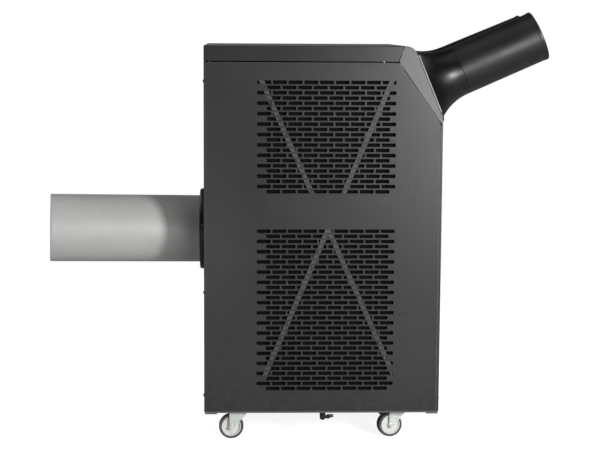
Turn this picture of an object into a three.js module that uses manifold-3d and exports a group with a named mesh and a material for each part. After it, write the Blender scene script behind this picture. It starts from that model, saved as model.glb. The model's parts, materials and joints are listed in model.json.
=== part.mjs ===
// Portable air conditioner: a steel spot-cooler cabinet on four swivel casters.
// Front (two air nozzles) faces -Y, rear (exhaust duct) faces +Y, +Z is up.
// All sizes are millimetres. Left and right are as seen by a person facing the front.
import * as THREE from 'three';
import { mergeVertices } from 'three/addons/utils/BufferGeometryUtils.js';
import Module from 'manifold-3d';

const wasm = await Module();
wasm.setup();

// Cabinet
const WIDTH = 500;
const DEPTH = 602.4;
const TOP = 1011;
const LID_SEAM = 972;
const HOOD_BOTTOM = 812.6;
const PANEL_BOTTOM = 78;
const SKIRT_BOTTOM = 74;
const CORNER_FOOT_BOTTOM = 71;
const CORNER_FOOT_LENGTH = 31;
const SHEET = 1.5;
const GAP = 0.3;
const FRONT_RETURN = 7;
const REAR_RETURN = 4.3;
const PAN_FLOOR = 84.3;
const PAN_SHEET = 2;

// Slanted nozzle face and the fold line of the side panel
const FACE_TILT = THREE.MathUtils.degToRad(22.5);
const FACE_FOOT = 827.8;
const HOOD_RADIUS = 28;
const HOOD_BEND_Y = -206.5;
const FOLD_TOP_Y = -187.6;
const MITRE_TOP_Y = -202.5;

// Grille slots in the left side panel
const SLOT_LENGTH = 35;
const SLOT_HEIGHT = 9;
const SLOT_PITCH = 39.3;
const ROW_PITCH = 13.1;
const ROW_SHIFT = 0.61;
const SLOT_FIRST_Y = 150.1;
const UPPER_FIRST_ROW = 920.2;
const UPPER_ROWS = 22;
const LOWER_FIRST_ROW = 544.6;
const LOWER_ROWS = 32;
const LONG_ROW_SLOTS = 9;

// Grey plate on the slanted face, measured along the face from the nozzle centre
const PLATE_WIDTH = 492;
const PLATE_LOW = -67.5;
const PLATE_HIGH = 88;
const PLATE_THICK = 4.5;

// Nozzles, measured outward from the slanted face
const NOZZLE_X = 95;
const NOZZLE_CENTRE_Z = 906.8;
const NOZZLE_LIFT_LEFT = THREE.MathUtils.degToRad(1.4);
const NOZZLE_LIFT_RIGHT = 0;
const NOZZLE_LENGTH = 326;
const BASE_LENGTH = 102;
const FLANGE_WIDTH = 184;
const FLANGE_LOW = -96;
const FLANGE_HIGH = 88;
const FLANGE_THICK = 4;
const FLANGE_CORNER = 14;
const FLARE_GROWTH = 0.001;
const FLARE_POWER = 2.3;
const TUBE_RADIUS = 65;
const TUBE_WALL = 3;
const SPIGOT_LENGTH = 30;
const NOZZLE_PORT_RADIUS = 60;
const NOZZLE_SIDES = 32;

// Exhaust
const DUCT_Z = 520;
const DUCT_RADIUS = 88.9;
const DUCT_WALL = 2;
const DUCT_LENGTH = 412.5;
const DUCT_INSERT = 15;
const DUCT_TURN = THREE.MathUtils.degToRad(7);
const DUCT_RISE = THREE.MathUtils.degToRad(1.15);
const DUCT_PORT_RADIUS = 93;
const COLLAR_RADIUS = 107.5;
const COLLAR_BORE = 92.2;
const COLLAR_THICK = 15;
const SHROUD_RADIUS = 99;
const SHROUD_BORE = 94;
const SHROUD_DEPTH = 95;
const FAN_RADIUS = 84;
const FAN_HUB_RADIUS = 26;
const FAN_SHAFT_RADIUS = 4;
const FAN_BLADES = 6;

// Crossed flat bars behind the grilles
const BRACE_TOP = 930;
const BRACE_BOTTOM = 160;
const BRACE_WIDTH = 12;
const BRACE_THICK = 2;

// Inner deck, coils and filters
const DECK_Z = 624;
const DECK_SHEET = 2;
const DECK_SIDE_CLEARANCE = 6;
const TRAY_HEIGHT = 18;
const TRAY_WALL = 2;
const COIL_X = -222;
const COIL_THICK = 42;
const EVAPORATOR_HALF = 165;
const EVAPORATOR_TOP = 940;
const CONDENSER_HALF = 170;
const CONDENSER_BOTTOM = 92;
const CONDENSER_TOP = 560;
const FILTER_X = -240;
const FILTER_THICK = 10;
const FILTER_FRONT_Y = -197;
const FILTER_REAR_Y = 179;
const LOWER_FILTER_BOTTOM = 121;

// Compressor and its pipes
const COMPRESSOR_X = 80;
const COMPRESSOR_Y = -110;
const COMPRESSOR_RADIUS = 62;
const COMPRESSOR_LOW = 100;
const COMPRESSOR_HIGH = 322;
const ACCUMULATOR_X = -15;
const ACCUMULATOR_RADIUS = 24;
const ACCUMULATOR_LOW = 150;
const ACCUMULATOR_HIGH = 274;
const PIPE_X = -120;
const SUCTION_Y = -190;
const DISCHARGE_Y = 195;
const PIPE_RADIUS = 5;
const PIPE_HOLE_RADIUS = 10;

// Cold-air blower
const BLOWER_Y = 60;
const BLOWER_Z = 790;
const BLOWER_HALF = 110;
const BLOWER_INLET_RADIUS = 92;
const BLOWER_BLADES = 16;
const WHEEL_OUTER = 108;
const WHEEL_INNER = 94;
const WHEEL_LEFT = -96;
const WHEEL_RIGHT = 93;
const BLOWER_SHAFT_RADIUS = 5;
const MOTOR_RADIUS = 55;
const MOTOR_LENGTH = 85;
const SCROLL_RADIUS = 150;
const OUTLET_Y = -150;
const OUTLET_HEIGHT = 100;
const PLENUM_HALF = 165;
const PLENUM_HIGH = 985;
const PLENUM_LOW = 845;

// Casters
const WHEEL_RADIUS = 31.75;
const TYRE_WIDTH = 24;
const HUB_RADIUS = 27;
const HUB_WIDTH = 26;
const CASTER_TRAIL = 18;
const FRONT_CASTER_X = 193;
const REAR_CASTER_X = 210;
const REAR_CASTER_Y = 214.2;
const FRONT_CASTER_Y = -196.8;
const FRONT_CASTER_TURN = THREE.MathUtils.degToRad(12);
const AXLE_RADIUS = 4;

// Controls on the front panel
const CONTROL_Z = 745;
const CONTROL_WIDTH = 220;
const CONTROL_HEIGHT = 90;
const CONTROL_THICK = 4;
const BUTTON_RADIUS = 6.5;
const BUTTON_PITCH = 30;
const BUTTON_COUNT = 4;
const BUTTON_DROP = 22;
const WINDOW_WIDTH = 70;
const WINDOW_LOW = 5;
const WINDOW_HIGH = 33;

// Power cord gland on the rear
const GLAND_X = 150;
const GLAND_Z = 160;
const GLAND_RADIUS = 9.2;

// Drain valve
const DRAIN_X = -222;
const DRAIN_Y = -3.8;
const DRAIN_Z = 60;

const HALF_W = WIDTH / 2;
const HALF_D = DEPTH / 2;

const vec = (x, y, z) => new THREE.Vector3(x, y, z);
const AXIS_X = vec(1, 0, 0);
const AXIS_Y = vec(0, 1, 0);
const AXIS_Z = vec(0, 0, 1);

const group = new THREE.Group();
group.name = 'portable_air_conditioner';

// ---------- solids: joining and cutting ----------

function solid(geometry) {
  const bare = geometry.clone();
  bare.deleteAttribute('normal');
  bare.deleteAttribute('uv');
  const welded = mergeVertices(bare, 1e-3);
  const corners = welded.index.array;
  const kept = [];
  for (let i = 0; i < corners.length; i += 3) {
    const [a, b, c] = corners.slice(i, i + 3);
    if (a !== b && b !== c && c !== a) kept.push(a, b, c);
  }
  return new wasm.Manifold(new wasm.Mesh({
    numProp: 3,
    vertProperties: Float32Array.from(welded.attributes.position.array),
    triVerts: Uint32Array.from(kept),
  }));
}

function fuse(...pieces) {
  return wasm.Manifold.union(pieces);
}

function cut(body, ...tools) {
  return wasm.Manifold.difference([body, ...tools]);
}

function part(name, shape, colour, roughness, metalness) {
  const mesh = shape.getMesh();
  const geometry = new THREE.BufferGeometry();
  geometry.setAttribute('position', new THREE.BufferAttribute(Float32Array.from(mesh.vertProperties), 3));
  geometry.setIndex(Array.from(mesh.triVerts));
  geometry.computeVertexNormals();
  const material = new THREE.MeshStandardMaterial({ color: colour, roughness, metalness });
  material.name = name;
  const node = new THREE.Mesh(geometry, material);
  node.name = name;
  group.add(node);
}

// ---------- basic shapes ----------

function box(x0, x1, y0, y1, z0, z1) {
  const geometry = new THREE.BoxGeometry(x1 - x0, y1 - y0, z1 - z0);
  geometry.translate((x0 + x1) / 2, (y0 + y1) / 2, (z0 + z1) / 2);
  return solid(geometry);
}

function outline(points) {
  return new THREE.Shape(points.map(([u, v]) => new THREE.Vector2(u, v)));
}

function extruded(shape, depth, matrix) {
  const geometry = new THREE.ExtrudeGeometry(shape, { depth, bevelEnabled: false, curveSegments: 8 });
  geometry.applyMatrix4(matrix);
  return solid(geometry);
}

// A (y, z) outline with thickness from x0 to x1
function slabX(points, x0, x1) {
  const matrix = new THREE.Matrix4().set(0, 0, 1, x0, 1, 0, 0, 0, 0, 1, 0, 0, 0, 0, 0, 1);
  return extruded(outline(points), x1 - x0, matrix);
}

// An (x, z) outline with thickness from y0 to y1
function slabY(points, y0, y1) {
  const matrix = new THREE.Matrix4().set(1, 0, 0, 0, 0, 0, -1, y1, 0, 1, 0, 0, 0, 0, 0, 1);
  return extruded(outline(points), y1 - y0, matrix);
}

// An (x, y) outline with thickness from z0 to z1
function slabZ(points, z0, z1) {
  return extruded(outline(points), z1 - z0, new THREE.Matrix4().makeTranslation(0, 0, z0));
}

// A closed (radius, along) profile turned about an axis
function turned(profile, origin, axis, segments) {
  const points = [...profile, profile[0]].map(([r, a]) => new THREE.Vector2(r, a));
  const area = THREE.ShapeUtils.area(points);
  if (area < 0) points.reverse();
  const geometry = new THREE.LatheGeometry(points, segments);
  const turn = new THREE.Quaternion().setFromUnitVectors(new THREE.Vector3(0, 1, 0), axis);
  geometry.applyQuaternion(turn);
  geometry.translate(origin.x, origin.y, origin.z);
  return solid(geometry);
}

function rod(origin, axis, radius, from, to, segments = 24) {
  return turned([[0, from], [radius, from], [radius, to], [0, to]], origin, axis, segments);
}

function ring(origin, axis, inner, outer, from, to, segments = 40) {
  return turned([[inner, from], [outer, from], [outer, to], [inner, to]], origin, axis, segments);
}

function pipe(points, radius) {
  const path = new THREE.CatmullRomCurve3(points, false, 'centripetal');
  const circle = new THREE.Shape();
  circle.absarc(0, 0, radius, 0, Math.PI * 2);
  const geometry = new THREE.ExtrudeGeometry(circle, {
    steps: points.length * 3, curveSegments: 3, extrudePath: path, bevelEnabled: false,
  });
  return solid(geometry);
}

function roundedRectangle(width, height, radius, steps = 3) {
  const points = [];
  const corners = [[1, 1, 0], [-1, 1, 90], [-1, -1, 180], [1, -1, 270]];
  for (const [sx, sy, start] of corners) {
    for (let i = 0; i <= steps; i += 1) {
      const angle = THREE.MathUtils.degToRad(start + (90 * i) / steps);
      const u = sx * (width / 2 - radius) + radius * Math.cos(angle);
      const v = sy * (height / 2 - radius) + radius * Math.sin(angle);
      points.push([u, v]);
    }
  }
  return points;
}

// ---------- the cabinet's side outline ----------

// Depth of the slanted face at height z, moved inward by `inset`
function faceY(z, inset = 0) {
  return -HALF_D + (z - FACE_FOOT) * Math.tan(FACE_TILT) + inset / Math.cos(FACE_TILT);
}

// Top bend of the hood, from the lid's mitre to the slanted face
function hoodBend(inset) {
  const radius = HOOD_RADIUS - inset;
  const points = [];
  const steps = 6;
  for (let i = 0; i <= steps; i += 1) {
    const angle = Math.PI / 2 + ((Math.PI / 2 - FACE_TILT) * i) / steps;
    points.push([HOOD_BEND_Y + radius * Math.cos(angle), TOP - HOOD_RADIUS + radius * Math.sin(angle)]);
  }
  return points;
}

// Height of the side panel's slanted edge at depth y
function foldZ(y) {
  const slope = (LID_SEAM - HOOD_BOTTOM) / (FOLD_TOP_Y + HALF_D);
  return LID_SEAM + (y - FOLD_TOP_Y) * slope;
}

const frontEdge = -HALF_D + FRONT_RETURN + GAP;
const rearEdge = HALF_D - REAR_RETURN - GAP;
const sideOutline = [
  [frontEdge, PANEL_BOTTOM],
  [rearEdge, PANEL_BOTTOM],
  [rearEdge, LID_SEAM - GAP],
  [FOLD_TOP_Y, LID_SEAM - GAP],
  [frontEdge, foldZ(frontEdge) - GAP],
];

function grille(firstRow, rows) {
  const slots = [];
  for (let row = 0; row < rows; row += 1) {
    const shifted = row % 2 === 1;
    const count = shifted ? LONG_ROW_SLOTS - 1 : LONG_ROW_SLOTS;
    const z = firstRow - row * ROW_PITCH;
    for (let i = 0; i < count; i += 1) {
      const y = SLOT_FIRST_Y - (i + (shifted ? ROW_SHIFT : 0)) * SLOT_PITCH;
      slots.push(box(-HALF_W - 2, -HALF_W + SHEET + 2, y - SLOT_LENGTH / 2, y + SLOT_LENGTH / 2,
        z - SLOT_HEIGHT / 2, z + SLOT_HEIGHT / 2));
    }
  }
  return slots;
}

// ---------- cabinet ----------

const BLACK_STEEL = 0x2b2b2c;
const GREY_STEEL = 0x8e8e8c;
const BLACK_PLASTIC = 0x161616;
const ZINC = 0xaab4ae;

function makeBasePan() {
  const x = HALF_W - SHEET - GAP;
  const y = HALF_D - SHEET - GAP;
  const shell = box(-x, x, -y, y, SKIRT_BOTTOM, PAN_FLOOR + PAN_SHEET);
  const hollow = box(-x + PAN_SHEET, x - PAN_SHEET, -y + PAN_SHEET, y - PAN_SHEET, 0, PAN_FLOOR);
  let pan = cut(shell, hollow);
  for (const sx of [-1, 1]) {
    for (const sy of [-1, 1]) {
      const inner = y - CORNER_FOOT_LENGTH;
      const xs = [sx * x, sx * (x - PAN_SHEET)].sort((a, b) => a - b);
      const ys = [sy * y, sy * inner].sort((a, b) => a - b);
      pan = fuse(pan, box(...xs, ...ys, CORNER_FOOT_BOTTOM, SKIRT_BOTTOM + 1));
    }
  }
  const drain = rod(vec(DRAIN_X, DRAIN_Y, 0), AXIS_Z, 6, 0, PAN_FLOOR + 10, 16);
  part('base_pan', cut(pan, drain), BLACK_STEEL, 0.45, 0.4);
}

function makeSidePanels() {
  const slots = [...grille(UPPER_FIRST_ROW, UPPER_ROWS), ...grille(LOWER_FIRST_ROW, LOWER_ROWS)];
  const left = slabX(sideOutline, -HALF_W, -HALF_W + SHEET);
  part('side_panel_left', cut(left, ...slots), BLACK_STEEL, 0.45, 0.4);
  const right = slabX(sideOutline, HALF_W - SHEET, HALF_W);
  part('side_panel_right', right, BLACK_STEEL, 0.45, 0.4);
}

// A channel of sheet: a flat back at y0..y1 with two short returns along the sides
function foldedPanel(yOuter, yInner, yReturn, z0, z1) {
  const back = box(-HALF_W, HALF_W, Math.min(yOuter, yInner), Math.max(yOuter, yInner), z0, z1);
  const y0 = Math.min(yOuter, yReturn);
  const y1 = Math.max(yOuter, yReturn);
  const left = box(-HALF_W, -HALF_W + SHEET, y0, y1, z0, z1);
  const right = box(HALF_W - SHEET, HALF_W, y0, y1, z0, z1);
  return fuse(back, left, right);
}

function makeRearPanel() {
  const sheet = foldedPanel(HALF_D, HALF_D - SHEET, HALF_D - REAR_RETURN, PANEL_BOTTOM, LID_SEAM - GAP);
  const port = rod(vec(0, HALF_D, DUCT_Z), AXIS_Y, DUCT_PORT_RADIUS, -20, 20, 40);
  const gland = rod(vec(GLAND_X, HALF_D, GLAND_Z), AXIS_Y, GLAND_RADIUS + GAP, -20, 20, 20);
  part('rear_panel', cut(sheet, port, gland), BLACK_STEEL, 0.45, 0.4);
}

function makeFrontPanel() {
  const high = HOOD_BOTTOM - GAP;
  const sheet = foldedPanel(-HALF_D, -HALF_D + SHEET, -HALF_D + FRONT_RETURN, PANEL_BOTTOM, high);
  const window = box(-CONTROL_WIDTH / 2 + 10, CONTROL_WIDTH / 2 - 10, -HALF_D - 5, -HALF_D + 5,
    CONTROL_Z - CONTROL_HEIGHT / 2 + 10, CONTROL_Z + CONTROL_HEIGHT / 2 - 10);
  part('front_panel', cut(sheet, window), BLACK_STEEL, 0.45, 0.4);
}

function makeLid() {
  const seam = LID_SEAM + GAP;
  const outer = [[HALF_D, seam], [HALF_D, TOP], [MITRE_TOP_Y + GAP, TOP], [FOLD_TOP_Y + GAP, seam]];
  const inner = [
    [HALF_D - SHEET, 0],
    [HALF_D - SHEET, TOP - SHEET],
    [-HALF_D, TOP - SHEET],
    [-HALF_D, 0],
  ];
  const shell = slabX(outer, -HALF_W, HALF_W);
  const hollow = slabX(inner, -HALF_W + SHEET, HALF_W - SHEET);
  part('top_lid', cut(shell, hollow), BLACK_STEEL, 0.4, 0.4);
}

// A direction square to the slanted face, lifted by an angle
function outward(lift = 0) {
  return vec(0, -Math.cos(FACE_TILT + lift), Math.sin(FACE_TILT + lift));
}

// A point on a nozzle's centre height of the slanted face, moved outward by `along`
function facePoint(x, along) {
  return vec(x, faceY(NOZZLE_CENTRE_Z), NOZZLE_CENTRE_Z).addScaledVector(outward(), along);
}

// An (x, upslope) outline raised from the slanted face between two distances
function slabFace(points, x, from, to) {
  const origin = facePoint(x, from);
  const tilt = new THREE.Matrix4().makeRotationX(Math.PI / 2 - FACE_TILT);
  return extruded(outline(points), to - from, tilt.setPosition(origin));
}

function rectangle(u0, u1, v0, v1) {
  return [[u0, v0], [u1, v0], [u1, v1], [u0, v1]];
}

function makeHood() {
  const outer = [
    [FOLD_TOP_Y - GAP, LID_SEAM],
    [MITRE_TOP_Y - GAP, TOP],
    ...hoodBend(0),
    [-HALF_D, FACE_FOOT],
    [-HALF_D, HOOD_BOTTOM],
  ];
  const inner = [
    [0, LID_SEAM - 100],
    [0, TOP - SHEET],
    ...hoodBend(SHEET),
    [-HALF_D + SHEET, FACE_FOOT],
    [-HALF_D + SHEET, HOOD_BOTTOM - 100],
  ];
  const shell = slabX(outer, -HALF_W, HALF_W);
  const hollow = slabX(inner, -HALF_W + SHEET, HALF_W - SHEET);
  part('front_hood', cut(shell, hollow, ...nozzlePorts()), 0x3a3a3a, 0.4, 0.4);
}

function nozzlePorts() {
  return [-NOZZLE_X, NOZZLE_X].map(
    (x) => rod(facePoint(x, 0), outward(), NOZZLE_PORT_RADIUS, -20, 20, NOZZLE_SIDES),
  );
}

function makeNozzlePlate() {
  const face = rectangle(-PLATE_WIDTH / 2, PLATE_WIDTH / 2, PLATE_LOW, PLATE_HIGH);
  const plate = slabFace(face, 0, GAP, GAP + PLATE_THICK);
  part('nozzle_plate', cut(plate, ...nozzlePorts()), 0xa8a8a4, 0.5, 0.3);
}

function makeBraces() {
  const bars = [
    ['brace_bar_front', -173.7, 151, 0],
    ['brace_bar_rear', 159.1, -189.6, 1],
  ];
  for (const [name, yTop, yBottom, layer] of bars) {
    const run = vec(0, yBottom - yTop, BRACE_BOTTOM - BRACE_TOP).normalize();
    const dy = (-run.z * BRACE_WIDTH) / 2;
    const dz = (run.y * BRACE_WIDTH) / 2;
    const points = [[yTop - dy, BRACE_TOP - dz], [yTop + dy, BRACE_TOP + dz],
      [yBottom + dy, BRACE_BOTTOM + dz], [yBottom - dy, BRACE_BOTTOM - dz]];
    const x = -HALF_W + SHEET + GAP + layer * (BRACE_THICK + GAP);
    part(name, slabX(points, x, x + BRACE_THICK), GREY_STEEL, 0.5, 0.6);
  }
}

makeBasePan();
makeSidePanels();
makeRearPanel();
makeFrontPanel();
makeLid();
makeHood();
makeNozzlePlate();
makeBraces();

// ---------- cooling circuit ----------

function makeDeck() {
  const x = HALF_W - SHEET - GAP;
  const y = HALF_D - FRONT_RETURN - GAP;
  const plate = box(-x + DECK_SIDE_CLEARANCE, x, -y, y - PAN_SHEET, DECK_Z, DECK_Z + DECK_SHEET);
  const holes = [SUCTION_Y, DISCHARGE_Y].map(
    (holeY) => rod(vec(PIPE_X, holeY, DECK_Z), AXIS_Z, PIPE_HOLE_RADIUS, -5, 10, 16),
  );
  part('mid_deck', cut(plate, ...holes), 0x9a9c9c, 0.5, 0.7);
}

function makeCoils() {
  const floor = DECK_Z + DECK_SHEET + GAP;
  const right = COIL_X + COIL_THICK;
  const reach = EVAPORATOR_HALF + 20;
  const tray = box(COIL_X - 4, right + 8, -reach, reach, floor, floor + TRAY_HEIGHT);
  const trough = box(COIL_X - 4 + TRAY_WALL, right + 8 - TRAY_WALL, -reach + TRAY_WALL, reach - TRAY_WALL,
    floor + TRAY_WALL, floor + TRAY_HEIGHT + 20);
  part('drip_tray', cut(tray, trough), 0x303234, 0.6, 0);
  const onTray = floor + 2 * TRAY_WALL;
  const evaporator = box(COIL_X, right, -EVAPORATOR_HALF, EVAPORATOR_HALF, onTray, EVAPORATOR_TOP);
  part('evaporator_coil', evaporator, 0xb4b8ba, 0.45, 0.8);
  const condenser = box(COIL_X, right, -CONDENSER_HALF, CONDENSER_HALF, CONDENSER_BOTTOM, CONDENSER_TOP);
  part('condenser_coil', condenser, 0xb4b8ba, 0.45, 0.8);
  const filters = [
    ['air_filter_upper', floor, EVAPORATOR_TOP],
    ['air_filter_lower', LOWER_FILTER_BOTTOM, CONDENSER_TOP],
  ];
  for (const [name, low, high] of filters) {
    const mat = box(FILTER_X, FILTER_X + FILTER_THICK, FILTER_FRONT_Y, FILTER_REAR_Y, low, high);
    part(name, mat, 0x1c1c1e, 0.9, 0);
  }
}

function makeCompressor() {
  const floor = PAN_FLOOR + PAN_SHEET + GAP;
  const centre = vec(COMPRESSOR_X, COMPRESSOR_Y, 0);
  const body = turned([
    [0, COMPRESSOR_LOW], [COMPRESSOR_RADIUS - 17, COMPRESSOR_LOW],
    [COMPRESSOR_RADIUS - 2, COMPRESSOR_LOW + 10],
    [COMPRESSOR_RADIUS, COMPRESSOR_LOW + 25], [COMPRESSOR_RADIUS, COMPRESSOR_HIGH - 32],
    [COMPRESSOR_RADIUS - 4, COMPRESSOR_HIGH - 17], [COMPRESSOR_RADIUS - 22, COMPRESSOR_HIGH - 4],
    [0, COMPRESSOR_HIGH],
  ], centre, AXIS_Z, 28);
  const footPlate = roundedRectangle(170, 150, 20).map(([u, v]) => [u + centre.x, v + centre.y]);
  const feet = slabZ(footPlate, floor, floor + 4);
  const mount = rod(centre, AXIS_Z, COMPRESSOR_RADIUS / 2, floor, COMPRESSOR_LOW + 5, 20);
  part('compressor', fuse(body, feet, mount), 0x1d1e20, 0.5, 0.3);
  const accumulator = turned([
    [0, ACCUMULATOR_LOW], [ACCUMULATOR_RADIUS - 8, ACCUMULATOR_LOW + 2],
    [ACCUMULATOR_RADIUS, ACCUMULATOR_LOW + 12], [ACCUMULATOR_RADIUS, ACCUMULATOR_HIGH - 12],
    [ACCUMULATOR_RADIUS - 8, ACCUMULATOR_HIGH - 2], [0, ACCUMULATOR_HIGH],
  ], vec(ACCUMULATOR_X, COMPRESSOR_Y, 0), AXIS_Z, 24);
  part('accumulator', accumulator, 0x1d1e20, 0.5, 0.3);
}

function makePipes() {
  const coilX = COIL_X + COIL_THICK / 2;
  const coilEnd = -EVAPORATOR_HALF - 0.4;
  const accumulatorTop = ACCUMULATOR_HIGH + 0.5;
  const suction = pipe([
    vec(coilX, coilEnd, 760), vec(coilX, -178, 760), vec(-160, SUCTION_Y, 740), vec(PIPE_X, SUCTION_Y, 690),
    vec(PIPE_X, SUCTION_Y, 640), vec(PIPE_X, SUCTION_Y, 560), vec(PIPE_X + 30, -170, 430),
    vec(-20, -120, 330), vec(ACCUMULATOR_X, COMPRESSOR_Y, 290),
    vec(ACCUMULATOR_X, COMPRESSOR_Y, accumulatorTop),
  ], PIPE_RADIUS);
  part('suction_pipe', suction, 0xb06a3c, 0.35, 1);
  const discharge = pipe([
    vec(COMPRESSOR_X, COMPRESSOR_Y, COMPRESSOR_HIGH + 0.5), vec(COMPRESSOR_X, COMPRESSOR_Y, 350),
    vec(60, -80, 390), vec(-40, 40, 430), vec(-140, 175, 430), vec(-190, DISCHARGE_Y, 430),
    vec(coilX, 190, 430), vec(coilX, CONDENSER_HALF + 2, 430),
  ], PIPE_RADIUS - 1);
  part('discharge_pipe', discharge, 0xb06a3c, 0.35, 1);
}

makeDeck();
makeCoils();
makeCompressor();
makePipes();

// ---------- air movers ----------

function makeExhaustFan() {
  const centre = vec(0, 0, DUCT_Z);
  const inner = HALF_D - SHROUD_DEPTH;
  const outer = HALF_D - SHEET - GAP;
  const armThick = 5;
  let shroud = ring(centre, AXIS_Y, SHROUD_BORE, SHROUD_RADIUS, inner, outer, 40);
  const hub = ring(centre, AXIS_Y, FAN_SHAFT_RADIUS + 2, 36, inner, inner + armThick, 24);
  const arms = 3;
  for (let i = 0; i < arms; i += 1) {
    const angle = Math.PI / 2 + (i * Math.PI * 2) / arms;
    const arm = new THREE.BoxGeometry(SHROUD_BORE - 27, armThick, 12);
    arm.translate((SHROUD_BORE + 30) / 2 + 1, inner + armThick / 2, 0);
    arm.rotateY(-angle);
    arm.translate(0, 0, DUCT_Z);
    shroud = fuse(shroud, solid(arm));
  }
  part('exhaust_fan_shroud', fuse(shroud, hub), 0x2a2c2e, 0.5, 0.2);

  const motor = rod(centre, AXIS_Y, 38, inner - 62, inner - GAP, 28);
  const shaft = rod(centre, AXIS_Y, FAN_SHAFT_RADIUS, inner - 1, inner + 46, 12);
  part('exhaust_fan_motor', fuse(motor, shaft), 0x5a5d60, 0.45, 0.6);

  let wheel = ring(centre, AXIS_Y, FAN_SHAFT_RADIUS + 0.4, FAN_HUB_RADIUS, inner + 12, inner + 40, 24);
  for (let i = 0; i < FAN_BLADES; i += 1) {
    const blade = new THREE.BoxGeometry(FAN_RADIUS - FAN_HUB_RADIUS + 2, 2.4, 34);
    blade.translate((FAN_RADIUS + FAN_HUB_RADIUS - 2) / 2, 0, 0);
    blade.rotateX(THREE.MathUtils.degToRad(35));
    blade.rotateY((i * Math.PI * 2) / FAN_BLADES);
    blade.translate(0, inner + 26, DUCT_Z);
    wheel = fuse(wheel, solid(blade));
  }
  part('exhaust_fan_wheel', wheel, 0x3a3d40, 0.5, 0.1);
}

function scrollOutline(inset) {
  const radius = SCROLL_RADIUS - inset;
  const mouth = OUTLET_Y - inset * 10;
  const points = [[mouth, BLOWER_Z + SCROLL_RADIUS - OUTLET_HEIGHT + inset], [mouth, BLOWER_Z + radius]];
  const steps = 24;
  const sweep = Math.PI * 1.6;
  for (let i = 0; i <= steps; i += 1) {
    const angle = Math.PI / 2 - (sweep * i) / steps;
    points.push([BLOWER_Y + radius * Math.cos(angle), BLOWER_Z + radius * Math.sin(angle)]);
  }
  return points.reverse();
}

function makeBlower() {
  const centre = vec(0, BLOWER_Y, BLOWER_Z);
  const shell = slabX(scrollOutline(0), -BLOWER_HALF, BLOWER_HALF);
  const hollow = slabX(scrollOutline(PAN_SHEET), -BLOWER_HALF + PAN_SHEET, BLOWER_HALF - PAN_SHEET);
  const inlet = rod(centre, AXIS_X, BLOWER_INLET_RADIUS, -BLOWER_HALF - 5, -BLOWER_HALF + 5, 32);
  const shaftHole = rod(centre, AXIS_X, BLOWER_SHAFT_RADIUS + 3, BLOWER_HALF - 5, BLOWER_HALF + 5, 16);
  part('blower_housing', cut(shell, hollow, inlet, shaftHole), 0xa6a9aa, 0.5, 0.7);

  const bore = BLOWER_SHAFT_RADIUS + 0.4;
  const backPlate = ring(centre, AXIS_X, bore, WHEEL_OUTER, WHEEL_RIGHT - 3, WHEEL_RIGHT, 32);
  const boss = ring(centre, AXIS_X, bore, 18, 60, WHEEL_RIGHT - 1, 20);
  const rim = ring(centre, AXIS_X, WHEEL_INNER, WHEEL_OUTER, WHEEL_LEFT, WHEEL_LEFT + 3, 32);
  let wheel = fuse(backPlate, boss, rim);
  for (let i = 0; i < BLOWER_BLADES; i += 1) {
    const blade = new THREE.BoxGeometry(WHEEL_RIGHT - WHEEL_LEFT - 1, 14, 1.5);
    blade.rotateX(THREE.MathUtils.degToRad(35));
    blade.translate((WHEEL_RIGHT + WHEEL_LEFT) / 2, (WHEEL_OUTER + WHEEL_INNER) / 2, 0);
    blade.rotateX((i * Math.PI * 2) / BLOWER_BLADES);
    blade.translate(0, BLOWER_Y, BLOWER_Z);
    wheel = fuse(wheel, solid(blade));
  }
  part('blower_wheel', wheel, 0x8c9092, 0.45, 0.7);

  const motor = rod(centre, AXIS_X, MOTOR_RADIUS, BLOWER_HALF + GAP, BLOWER_HALF + MOTOR_LENGTH, 32);
  const shaft = rod(centre, AXIS_X, BLOWER_SHAFT_RADIUS, 50, BLOWER_HALF + 5, 12);
  part('blower_motor', fuse(motor, shaft), 0x5a5d60, 0.45, 0.6);
}

function makePlenum() {
  const wall = 2;
  const rear = OUTLET_Y - GAP;
  const low = BLOWER_Z + SCROLL_RADIUS - OUTLET_HEIGHT;
  const high = BLOWER_Z + SCROLL_RADIUS;
  const inset = SHEET + 1;
  const topFace = faceY(PLENUM_HIGH, inset);
  const lowFace = faceY(PLENUM_LOW, inset);
  const outer = [[rear, low], [rear, high], [topFace, PLENUM_HIGH], [lowFace, PLENUM_LOW]];
  const inner = [[rear + 10, low + wall], [rear + 10, high - wall], [rear, high - wall],
    [faceY(PLENUM_HIGH - 3, inset), PLENUM_HIGH - 3], [topFace - 20, PLENUM_HIGH - 3],
    [lowFace - 20, PLENUM_LOW + 3], [lowFace, PLENUM_LOW + 3], [rear, low + wall]];
  const shell = slabX(outer, -PLENUM_HALF, PLENUM_HALF);
  const hollow = slabX(inner.reverse(), -PLENUM_HALF + wall, PLENUM_HALF - wall);
  part('nozzle_plenum', cut(shell, hollow), 0xa6a9aa, 0.5, 0.7);
}

makeExhaustFan();
makeBlower();
makePlenum();

// ---------- nozzles ----------

// Concave flare: radius at a distance from the slanted face
function flareRadius(along) {
  return TUBE_RADIUS + FLARE_GROWTH * (BASE_LENGTH - along) ** FLARE_POWER;
}

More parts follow.
